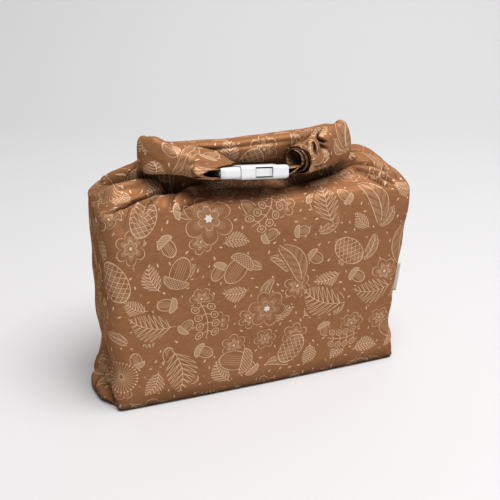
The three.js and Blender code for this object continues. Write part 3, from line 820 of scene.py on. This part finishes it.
def corner_creases(grid):
    """Creases at the boxed corners and the pinches above them."""
    x, y, z = np.moveaxis(grid, -1, 0)
    flat = np.stack([np.abs(y - side_seam_y), z], axis=-1)
    low = smoothstep(60, 40, z) * smoothstep(118, 128, np.abs(x))
    out = low * folds(flat, [
        ([(0, 36), (14, 22), (30, 4)], -2.6, 3.0, 0.6, 0.5),
        ([(6, 40), (22, 28), (36, 14)], 1.6, 4.0, 0.3, 0.2),
        ([(2, 52), (20, 46)], -1.4, 3.5, 0.7, 0.0),
    ])

    # the near left corner, as the photograph shows it
    near = smoothstep(-118, -126, x) * smoothstep(64, 52, z)
    return out + near * folds(seen_at(grid), [
        ([(98, 367), (103, 381), (109, 396), (115, 409)], -4.5, 1.7, 0.4, 0.5),
        ([(96, 380), (101, 392), (108, 403)], 1.8, 3.0, 0.2, 0.2),
        ([(104, 398), (111, 407), (117, 412)], -2.0, 1.3, 0.2, 0.4),
    ])


def seam_groove(grid, fabric):
    """The cloth dips to the side seams and puckers a little along them."""
    u = fabric[..., 0]
    distance = np.minimum(u - u[:, [0]], u[:, [-1]] - u)
    z = grid[..., 2]
    pucker = 0.5 + 0.5 * np.sin(z * 2 * math.pi / 7 + 3 * np.sin(z / 17))
    near = np.exp(-((distance / 2.2) ** 2))
    wide = np.exp(-((distance / 8) ** 2))
    return -1.1 * near - 0.5 * wide * pucker


def dressed_panel(name, facing_y, node):
    grid, fabric = panel_grid(facing_y)
    outward = facing(grid) * -facing_y
    x, y, z = np.moveaxis(grid, -1, 0)

    # both panels lean the same way at the seams, so that their edges stay together
    from_edge = np.minimum(fabric[..., 0] - fabric[:, [0], 0], fabric[:, [-1], 0] - fabric[..., 0])
    at_seam = smoothstep(9, 0, from_edge)[..., None]
    rise = 0.7 * smoothstep(165, 198, z)
    sideways = np.stack([np.where(x < 0, -1, 1) * (1 - rise), 0 * x, rise], axis=-1)
    outward = mix(outward, unit(sideways), at_seam)
    standing = smoothstep(3, 14, z)
    out = seam_groove(grid, fabric) * smoothstep(0, 6, z) * smoothstep(214, 205, z)
    out += corner_creases(grid)
    raised, slide = shoulder_folds(grid)
    out += 0.8 * ripples(grid, 85, 11) * standing * smoothstep(205, 190, z)
    out += 0.35 * ripples(grid, 30, 12) * standing * smoothstep(205, 190, z)
    if facing_y > 0:
        raised = raised * smoothstep(38, 20, y)
        slide = slide * smoothstep(38, 20, y)
        behind = np.stack([x, z], axis=-1)
        away = smoothstep(25, 40, y)
        out += away * short_folds(behind, [
            ((-86, 196), (-128, 166), -5.0, 4.0),
            ((-84, 192), (-112, 150), 3.2, 6.0),
            ((-80, 190), (-92, 145), -2.6, 5.0),
            ((-70, 188), (-70, 142), 1.8, 6.0),
            ((82, 196), (126, 162), -5.0, 4.0),
            ((80, 192), (110, 148), 3.2, 6.0),
            ((74, 190), (86, 146), -2.4, 5.0),
            ((60, 188), (58, 150), 1.6, 6.0),
            ((-30, 186), (-36, 158), -1.2, 6.0),
            ((20, 186), (26, 156), -1.2, 7.0),
        ])
    out = out * smoothstep(-3, 2, z) * smoothstep(216, 209, z)
    raised = raised * smoothstep(212, 202, z)
    upward = mix(outward, np.array([0, 0, 1.0]), smoothstep(158, 176, z)[..., None])
    climb = unit(np.gradient(grid, axis=0))
    slide = slide * smoothstep(9, 16, from_edge)
    grid = grid + outward * out[..., None] + upward * raised[..., None] - climb * slide[..., None]
    grid[..., 2] = np.maximum(grid[..., 2], 0.2)
    flip = slice(None) if facing_y < 0 else slice(None, None, -1)
    sheet = cloth_sheet(
        name, grid[:, flip], fabric[:, flip], cloth_thickness, printed_cloth,
    )
    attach(sheet, "bag")
    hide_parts(node)
    return grid, fabric, outward


front_grid, front_fabric, front_outward = dressed_panel("bag_front", -1, "front_panel")
back_grid, back_fabric, back_outward = dressed_panel("bag_back", 1, "back_panel")


# Lining: smooth pale waterproof film laminated to cloth, sewn to the same outline as the
# panels and hanging just inside them.
lining_film = bpy.data.materials.new("lining film")
film = Wiring(lining_film)
film_map = film.add("ShaderNodeUVMap", uv_map="fabric")
film_cloud = film.noise(film_map.outputs[0], 160, 4)
film.colour(film.tint(film_cloud, (0.56, 0.42, 0.31, 1), (0.70, 0.55, 0.43, 1)))
film.relief(film_cloud, 0.3, 0.0005)
film.shader.inputs["Roughness"].default_value = 0.4
film.shader.inputs["Coat Weight"].default_value = 0.1

lining_inset = 1.7
lining_bottom = 1.9
rows_in_roll = 5
for name, grid, fabric, outward, flip, node in [
    ("lining_front", front_grid, front_fabric, front_outward, slice(None), "front_lining"),
    ("lining_back", back_grid, back_fabric, back_outward, slice(None, None, -1), "back_lining"),
]:
    inside = grid - outward * lining_inset
    # it is tucked in under the shoulders, and ends below the roll
    folded = smoothstep(162, 180, grid[..., 2]) * smoothstep(38, 66, np.abs(grid[..., 0]))
    inside[..., 1] *= 1 - 0.5 * folded
    inside[..., 2] -= 14 * folded
    inside[..., 0] *= 1 - 0.03 * folded
    inside[..., 2] = np.maximum(inside[..., 2], lining_bottom)
    inside = inside[:-rows_in_roll, flip]
    spread = fabric[:-rows_in_roll, flip]
    lining = cloth_sheet(name, inside, spread, 0.3, lining_film)
    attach(lining, "bag")
    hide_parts(node)


# Rolled mouth: the stiffened mouth is rolled down in front of the neck. The cloth runs up
# from the neck, over the lip at the back, and round the coil. At the left the coil is turned
# back on itself to the front and flattens to an open tunnel for the tape of the buckle.
roll_depth = 6.75
roll_half_height = 13.5
roll_middle = 214.2
roll_end_middle = 219.2
left_fold_x = -86.5
right_fold_x = 75.0
left_fold_top = 235.2
left_fold_under = 205.4
back_leg_y = -12.0
between_legs_y = -19.0
half_gap = back_leg_y - between_legs_y
fold_half_depth = 5.9


def tube(stations, count):
    """Rings of points along a path. A station gives its middle, the side that faces outwards
    in degrees (0 to the back, 90 to the left, 180 to the front), half its depth, half its
    height, the tilt of that side in degrees and how square it is."""
    angles = np.linspace(0, 2 * math.pi, count, endpoint=False) - math.pi / 2
    rings = []
    for middle, side, half_n, half_z, tilt, square in stations:
        power = 2 / square
        n = half_n * np.sign(np.cos(angles)) * np.abs(np.cos(angles)) ** power
        z = half_z * np.sign(np.sin(angles)) * np.abs(np.sin(angles)) ** power
        turn = math.radians(side)
        lean = math.radians(tilt)
        level = np.array([-math.sin(turn), math.cos(turn), 0])
        up = np.array([0.0, 0.0, 1.0])
        out_axis = level * math.cos(lean) + up * math.sin(lean)
        up_axis = up * math.cos(lean) - level * math.sin(lean)
        rings.append(np.array(middle) + n[:, None] * out_axis + z[:, None] * up_axis)
    grid = np.array(rings)
    centre = grid.mean(axis=1, keepdims=True)
    if ((grid - centre) * facing(grid, True)).sum() < 0:
        grid = grid[:, ::-1]
    return grid


def tube_fabric(grid, start_u, start_v):
    """Fabric coordinates along and round a tube, measured on its middle ring and its front."""
    along = lengths_along(grid.mean(axis=1))[:, None]
    round_it = lengths_along(np.concatenate([grid, grid[:, :1]], axis=1), 1)
    u, v = np.broadcast_arrays(start_u + along, start_v + round_it)
    return np.stack([u, v], axis=-1)


def smooth_table(shares, table, columns):
    """Values of a table at the given shares along it, eased between its rows."""
    table = np.array(table, float)
    fine = np.linspace(0, 1, 401)
    out = []
    for column in range(1, columns + 1):
        values = np.interp(fine, table[:, 0], table[:, column])
        values = eased(values, 61, "reflect", reflect_type="odd")
        out.append(np.interp(shares, fine, values))
    return np.stack(out, axis=-1)


def leg_bottom(x):
    """Height of the roll's underside, which rises towards its ends."""
    risen = smoothstep(-46, left_fold_x, x) + smoothstep(34, right_fold_x, x)
    return roll_middle - roll_half_height + (roll_end_middle - roll_middle) * risen


def leg_middle(x):
    return (crown_height(x) + leg_bottom(x)) / 2


def leg_half(x):
    return (crown_height(x) - leg_bottom(x)) / 2


stations = []
for share, depth_share in [(0.0, 0.12), (0.12, 0.5), (0.35, 0.8), (0.7, 0.96)]:
    x = 85.0 - 9 * share
    half_z = 0.93 * leg_half(x) * mix(depth_share, 1, 0.6)
    stations.append(((x, back_leg_y, leg_middle(x)), 0, roll_depth * depth_share, half_z, 0, 2.6))
for x in np.linspace(right_fold_x + 1, left_fold_x, 62):
    stations.append(((x, back_leg_y, leg_middle(x)), 0, roll_depth, leg_half(x), 0, 2.7))
for side in np.linspace(0, 180, 19)[1:-1]:
    turn = math.radians(side)
    top = mix(crown_height(left_fold_x), left_fold_top, smoothstep(0, 90, side))
    middle = (
        left_fold_x - 6.4 * math.sin(turn),
        between_legs_y + half_gap * math.cos(turn),
        (top + left_fold_under) / 2,
    )
    stations.append((middle, side, fold_half_depth, (top - left_fold_under) / 2, 0, 2.5))
return_end_x = -44.2
return_half_depth = 14
return_table = [
    # share of the way, half depth, tilt, top and underside
    [0, roll_depth, 0, left_fold_top, left_fold_under],
    [0.12, 6.9, 0, 234.0, 205.2],
    [0.27, 7.5, 1, 230.6, 204.8],
    [0.40, 8.6, 3, 228.0, 204.0],
    [0.52, 10.0, 5, 225.4, 202.8],
    [0.65, 11.6, 8, 221.4, 201.3],
    [0.82, 13.8, 13, 214.2, 199.2],
    [0.93, 14.8, 15, 211, 198.5],
    [1, 14.8, 15, 210.8, 198.4],
]
shares = np.linspace(0, 1, 44)
for share, (half_n, tilt, top, under) in zip(shares, smooth_table(shares, return_table, 4)):
    half_z = (top - under) / 2
    lean = math.radians(tilt)
    rear = between_legs_y - 0.05 - 0.027 * tilt
    y = rear - half_n * math.cos(lean) - half_z * math.sin(lean)
    x = mix(left_fold_x, return_end_x, share)
    pointed = mix(2.6, 1.55, smoothstep(0.55, 1, share))
    stations.append(((x, y, (top + under) / 2), 180, half_n, half_z, tilt, pointed))
roll_grid = tube(stations, 110)

# where the return flattens, its cloth is drawn up against the leg behind it
for ring, share in zip(roll_grid[-len(shares):], shares):
    middle = ring.mean(axis=0)
    rearness = np.clip((ring[:, 1] - middle[1]) / return_half_depth, 0, 1)
    upper = smoothstep(-0.2, 0.6, (ring[:, 2] - middle[2]) / 7)
    drawn_up = np.interp(share, [0, 0.3, 0.6, 0.8, 0.95, 1], [0, 2, 8, 10, 6, 4])
    ring[:, 2] += drawn_up * rearness ** 1.6 * upper

# the mouth of the tunnel slants: its near edge is turned back and its far edge runs on
for ring, share in zip(roll_grid[-len(shares):], shares):
    middle = ring.mean(axis=0)
    nearness = (middle[1] - ring[:, 1]) / return_half_depth
    ring[:, 0] += smoothstep(0.3, 1, share) * (16 - 19 * nearness - 8 * nearness ** 2)
roll_fabric = tube_fabric(roll_grid, 300, 20)


def near_creases(grid, turned, lines):
    """Creases on the near side of a tube, along lines in the photograph's pixels. They fade
    where its cloth turns away from the camera."""
    toward = unit(camera_place - grid)
    near = smoothstep(0.0, turned, (facing(grid, True) * toward).sum(axis=-1))
    return near * folds(seen_at(grid), lines)


out = near_creases(roll_grid, 0.25, [
    ([(168, 139), (174, 146), (184, 152)], -1.2, 3.2, 0.8, 0.1),
    ([(150, 134), (158, 143), (172, 152)], 1.2, 4.5, 0.4, 0.2),
    ([(172, 152), (215, 150), (262, 144), (300, 140)], -1.3, 2.2, 0.2, 0.2),
    ([(176, 145), (230, 141), (300, 134)], 0.8, 4.0, 0.2, 0.2),
    ([(140, 150), (150, 160), (168, 166)], -1.0, 3.0, 0.2, 0.1),
    ([(180, 168), (196, 164), (214, 166)], -1.0, 2.4, 0.1, 0.6),
    ([(165, 172), (186, 168), (206, 171)], 1.0, 3.0, 0.1, 0.2),
])
out += 0.55 * ripples(roll_grid, 46, 5)
out += 0.25 * ripples(roll_grid, 17, 6)
roll_grid = roll_grid + facing(roll_grid, True) * out[..., None]
rolled_mouth = cloth_sheet(
    "rolled_mouth", roll_grid, roll_fabric, 1.3, printed_cloth, closed=True,
)
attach(rolled_mouth, "roll")
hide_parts("roll_back_leg", "roll_left_return")

# the lip: the cloth's first turn, over the back of the neck and forward onto the roll
lip_curve = np.array([
    (-13.0, 225.6), (-10.0, 227.2), (-6.0, 227.7), (-2.0, 227.0), (1.4, 226.2), (3.9, 224.7),
    (5.1, 222.2), (4.9, 219.6), (3.6, 217.6), (1.2, 216.5), (-1.6, 216.6), (-4.0, 217.8),
    (-5.6, 219.4),
])
lip_shares = np.linspace(0, 1, len(lip_curve))
fine_shares = np.linspace(0, 1, 40)
lip_y = np.interp(fine_shares, lip_shares, lip_curve[:, 0])
lip_z = np.interp(fine_shares, lip_shares, lip_curve[:, 1])
lip_middle_y = -1.0
lip_middle_z = 221.5
lip_places = [(-86.2, 0.1), (-86.0, 0.6), (-85.2, 0.88)]
lip_places += [(x, 1.0) for x in np.linspace(-84, 74, 60)]
lip_places += [(75.2, 0.88), (76.0, 0.6), (76.2, 0.1)]
lip_rows = []
for x, size in lip_places:
    y = mix(lip_middle_y, lip_y, size)
    z = mix(lip_middle_z, lip_z, size) - (level_top - crown_height(x))
    lip_rows.append(np.stack([np.full(len(y), float(x)), y, z], axis=-1))
lip_grid = np.array(lip_rows)
lip_out = 0.3 * ripples(lip_grid, 30, 9)
lip_grid = lip_grid + facing(lip_grid) * lip_out[..., None]
lip_v = 235 + lengths_along(np.stack([lip_y, lip_z], axis=-1))
lip_fabric = np.stack(np.broadcast_arrays(lip_grid[..., 0], lip_v), axis=-1)
roll_lip = cloth_sheet(
    "roll_lip", lip_grid, lip_fabric, cloth_thickness, printed_cloth,
)
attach(roll_lip, "roll")


# Mouth bands: two strips of the same cloth, stiffened and sewn along the two edges of the
# mouth as hems. Rolled up, they lie flat inside the coil.
for name, y, node in [
    ("hem_band_front", -13.3, "mouth_band_front"),
    ("hem_band_back", -10.7, "mouth_band_back"),
]:
    band_rows = []
    for x in np.linspace(-82, 72, 40):
        band_rows.append([(x, y, leg_middle(x) + offset) for offset in np.linspace(-8.5, 8.5, 10)])
    band_grid = np.array(band_rows)
    band_fabric = np.stack([band_grid[..., 0], band_grid[..., 2]], axis=-1)
    band = cloth_sheet(name, band_grid, band_fabric, 0.8, printed_cloth)
    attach(band, "roll")
    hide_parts(node)


# Right end of the roll: turned back on itself like the left end, but left open, so its end
# shows the turns of the coil round a hollow, with the tape of the buckle in it.
open_end_x = 27.6
open_end_depth = 12.4
right_fold_top = 233.9
right_fold_under = 200.5
stations = []
for side in np.linspace(-6, -180, 20):
    turn = math.radians(-side)
    risen = smoothstep(0, 1.3, turn)
    top = mix(crown_height(right_fold_x) + 0.6, right_fold_top, risen)
    under = mix(leg_bottom(right_fold_x) - 0.4, right_fold_under, risen)
    middle = (
        right_fold_x + 5.6 * math.sin(turn) + 0.4,
        between_legs_y + half_gap * math.cos(turn),
        (top + under) / 2,
    )
    stations.append((middle, side, fold_half_depth, (top - under) / 2, 0, 2.9))
open_table = [
    # share of the way, how far it has opened, top and underside
    [0, 0.0, right_fold_top, right_fold_under],
    [0.18, 0.3, 234.0, 198.5],
    [0.40, 0.6, 232.4, 197.0],
    [0.60, 0.82, 229.2, 196.3],
    [0.78, 0.95, 224.4, 196.0],
    [0.90, 1.0, 220.6, 195.8],
    [1, 1.0, 219.0, 195.8],
]
shares = np.linspace(0, 1, 80)[1:]
for share, (opened, top, under) in zip(shares, smooth_table(shares, open_table, 3)):
    half_n = mix(roll_depth, open_end_depth, opened)
    rear = between_legs_y - 0.05 - 2.3 * opened
    middle = (mix(right_fold_x, open_end_x, share), rear - half_n, (top + under) / 2)
    stations.append((middle, 180, half_n, (top - under) / 2, 0, 2.3))
end_grid = tube(stations, 140)

# the folded end slants in towards its top
slant = 1 - 4.5 * smoothstep(210, 234, end_grid[..., 2])
end_grid[..., 0] += slant * smoothstep(52, 78, end_grid[..., 0])

# the open end slants, so that it faces the front as well as the left
for ring, share in zip(end_grid[-len(shares):], shares):
    nearness = (ring[:, 1].mean() - ring[:, 1]) / open_end_depth
    ring[:, 0] += smoothstep(0.5, 1, share) * (5.5 + 6.0 * nearness)
end_fabric = tube_fabric(end_grid, 90, 120)
out = near_creases(end_grid, 0.2, [
    ([(320, 127), (316, 136), (320, 139), (325, 142)], -7.0, 1.3, 0.3, 0.5),
    ([(313, 143), (315, 150), (317, 158)], -6.0, 1.3, 0.4, 0.2),
    ([(320, 143), (324, 149), (322, 156)], -3.4, 2.2, 0.4, 0.2),
    ([(295, 143), (303, 138), (310, 131)], -4.0, 2.0, 0.3, 0.3),
    ([(317, 140), (319.5, 149), (319.5, 158)], 1.4, 1.2, 0.4, 0.2),
    ([(310, 137), (309.5, 150), (312, 166)], 2.0, 2.4, 0.2, 0.2),
    ([(326, 128), (329, 142), (328, 158)], 1.4, 3.0, 0.3, 0.1),
    ([(302, 146), (306, 153), (308, 162), (307, 171)], -3.6, 1.0, 0.4, 0.4),
    ([(331, 160), (322, 164), (312, 168)], -1.4, 2.0, 0.2, 0.2),
])
out += 0.45 * ripples(end_grid, 40, 15)
out += 0.2 * ripples(end_grid, 15, 16)
end_grid = end_grid + facing(end_grid, True) * out[..., None]
turned_end = cloth_sheet(
    "turned_end", end_grid, end_fabric, 1.0, printed_cloth, closed=True,
)
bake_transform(turned_end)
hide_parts("roll_right_return")

# the turns of the coil, seen in the open end
coil_middle_y = -33.6
coil_middle_z = 206.9
coil_half_height = 11.4
coil_length = 18
coil_rows = []
coil_turns = np.linspace(0.05, 2.35, 150)
for deep in np.linspace(0, 1, 12):
    ring = []
    for turns in coil_turns:
        share = turns / 2.4
        size = 0.97 - 0.16 * turns
        angle = 2 * math.pi * turns - 0.6
        lag = 0.8 * math.sin(angle) - 4.0 * share
        nearness = size * math.cos(angle)
        rise = coil_half_height * size * math.sin(angle)
        x = open_end_x + 5.9 + 6.0 * nearness + lag + coil_length * deep
        y = coil_middle_y - open_end_depth * nearness + 2.0 * deep + 3.0 * share
        z = coil_middle_z + rise + 2.0 * deep + share
        ring.append((x, y, z))
    coil_rows.append(ring)
coil_grid = np.array(coil_rows)
coil_v = lengths_along(coil_grid[0])
coil_fabric = np.stack(np.broadcast_arrays(coil_grid[..., 0] + 400, coil_v), axis=-1)
coil = cloth_sheet("coil_turns", coil_grid, coil_fabric, 0.9, printed_cloth)
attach(coil, "socket_half")


# Tunnel at the left end: the hem's open end, out of which the left tab comes. Its inside is
# the plain wrong side of the cloth, turned in round the mouth of the tunnel.
mouth_ring = roll_grid[-1]
mouth_middle = mouth_ring.mean(axis=0)
tunnel_rows = []
for inward, size in [
    (0.35, 0.97), (-0.25, 0.93), (0.6, 0.86), (4.0, 0.8), (10.0, 0.72), (13.0, 0.3),
]:
    tunnel_rows.append(mix(mouth_middle, mouth_ring, size) - (inward, 0, 0))
tunnel_grid = np.array(tunnel_rows)
tunnel = cloth_sheet(
    "tunnel_hem", tunnel_grid, tube_fabric(tunnel_grid, 0, 0), 0, plain_cloth, closed=True,
)
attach(tunnel, "roll")


# Buckle: white moulded acetal side-release buckle for 25 mm tape. The plug carries a bar, a
# guide and two springing arms, and the socket has a window in each side for their pads.
buckle_white = bpy.data.materials.new("white acetal")
plastic = Wiring(buckle_white)
plastic_place = plastic.add("ShaderNodeTexCoord").outputs["Object"]
plastic_cloud = plastic.noise(plastic_place, 120)
plastic.colour(plastic.tint(plastic_cloud, (0.66, 0.66, 0.68, 1), (0.72, 0.72, 0.73, 1)))
plastic.relief(plastic.noise(plastic_place, 2600), 0.12, 0.0002)
plastic.shader.inputs["Roughness"].default_value = 0.34
plastic.shader.inputs["Subsurface Weight"].default_value = 0.5
plastic.shader.inputs["Subsurface Radius"].default_value = (0.004, 0.004, 0.004)

for node in ["buckle_plug", "buckle_socket", "latch_arm_front", "latch_arm_back"]:
    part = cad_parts[node]
    part.data.materials.clear()
    part.data.materials.append(buckle_white)
    edges = part.modifiers.new("moulded edges", "BEVEL")
    edges.width = 0.0003 if "latch" in node else 0.0006
    edges.segments = 3
    edges.limit_method = "ANGLE"
    edges.angle_limit = math.radians(34)
    if "latch" in node:
        fuller = part.modifiers.new("fuller pad", "DISPLACE")
        fuller.strength = 0.0005
        fuller.mid_level = 0
    part.data.polygons.foreach_set("use_smooth", [True] * len(part.data.polygons))
    sharp = part.modifiers.new("flat faces", "WEIGHTED_NORMAL")
    sharp.keep_sharp = True


# Tabs: strips of the printed cloth, folded and topstitched, looped round the buckle's bars
# with both layers sewn into the ends of the roll.
tab_half_width = 11.8
tab_height = 2.9
bar_width = 4.6
buckle_frame = (
    Matrix.Translation((-23.7, -36.411, 203.2))
    @ Matrix.Rotation(math.radians(4), 4, "Y")
    @ Matrix.Rotation(math.radians(-15), 4, "X")
)


def on_buckle(points):
    """Points given in the buckle's own frame, in the bag's: X along it from the joint of its
    halves, Y across it and Z through its thickness."""
    flat = np.asarray(points, float).reshape(-1, 3)
    turn = np.array(buckle_frame.to_3x3())
    moved = flat @ turn.T + np.array(buckle_frame.translation)
    return moved.reshape(np.shape(points))


def tab_grid(bar_x, outwards, shown, spread, rise=0.0, narrowing=0.0):
    """A strip round a bar: out of the roll, round the bar and back into the roll."""
    path = []
    far = bar_x + outwards * shown
    for share in np.linspace(0, 1, 9):
        path.append((mix(far, bar_x, share), tab_height + spread * (1 - share) ** 2))
    inner = bar_x - outwards * bar_width
    path.append((mix(bar_x, inner, 0.5), tab_height - 0.05))
    for turn in np.linspace(90, -90, 9):
        angle = math.radians(turn)
        path.append((inner - outwards * math.cos(angle), (tab_height - 0.1) * math.sin(angle)))
    path.append((mix(bar_x, inner, 0.5), 0.05 - tab_height))
    for share in np.linspace(1, 0, 9):
        path.append((mix(far, bar_x, share), -tab_height - spread * (1 - share) ** 2))
    rows = []
    for x, z in path:
        along = max(0.0, (x - bar_x) * outwards / shown)
        across = tab_half_width - narrowing * along
        lift = rise * along ** 2
        rows.append([(x, y, z + lift - 0.0012 * y * y) for y in np.linspace(-across, across, 15)])
    grid = np.array(rows)
    climb = lengths_along(grid[:, 7])[:, None]
    fabric = np.stack(np.broadcast_arrays(grid[..., 1], climb), axis=-1)
    return on_buckle(grid), fabric


grid, fabric = tab_grid(bar_x=-16.0, outwards=-1, shown=19.0, spread=-0.3)
left_strip = cloth_sheet("left_strip", grid, fabric, 0.9, printed_cloth)
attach(left_strip, "roll")
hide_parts("left_tab")
grid, fabric = tab_grid(bar_x=41.3, outwards=1, shown=13.0, spread=-2.5, rise=4.0, narrowing=4.0)
right_strip = cloth_sheet("right_strip", grid, fabric, 0.9, printed_cloth)
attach(right_strip, "socket_half")
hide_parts("right_tab")


# Side label: a bare beige woven tape, folded double and sewn by its two ends into the right
# side seam, from which it stands out.
label_weave = bpy.data.materials.new("woven label tape")
woven = Wiring(label_weave)
across, along, _ = woven.split(woven.add("ShaderNodeUVMap", uv_map="fabric").outputs[0])
warp = woven.do("SINE", across * (2 * math.pi / 0.0006))
weft = woven.do("SINE", along * (2 * math.pi / 0.0005))
weave = warp * weft * 0.5 + 0.5
woven.colour(woven.tint(weave, (0.44, 0.38, 0.30, 1), (0.62, 0.55, 0.45, 1)))
woven.relief(weave, 0.5, 0.0002)
woven.shader.inputs["Roughness"].default_value = 0.85
woven.shader.inputs["Sheen Weight"].default_value = 0.2

label_root_x = 137.83
label_root_z = 69.93
label_slope = 0.09935 / 0.99505
label_half_height = 14.6
label_reaches = np.linspace(-2.2, 15.4, 14)
label_layers = [(reach, -0.28) for reach in label_reaches]
label_layers += [(15.9, 0.0)]
label_layers += [(reach, 0.28) for reach in label_reaches[::-1]]
label_rows = []
for reach, gap in label_layers:
    label_rows.append([
        (
            label_root_x + reach + offset * label_slope,
            side_seam_y + gap - 0.006 * reach * reach + 0.25 * math.sin(offset / 6),
            label_root_z + offset - 0.03 * reach,
        )
        for offset in np.linspace(-label_half_height, label_half_height, 14)
    ])
label_grid = np.array(label_rows)
label_u = np.linspace(0, 31, len(label_rows))[:, None]
label_v = np.linspace(0, 29, 14)[None, :]
label_fabric = np.stack(np.broadcast_arrays(label_u, label_v), axis=-1)
seam_label = cloth_sheet("seam_label", label_grid, label_fabric, 0.35, label_weave)
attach(seam_label, "label")
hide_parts("side_label")
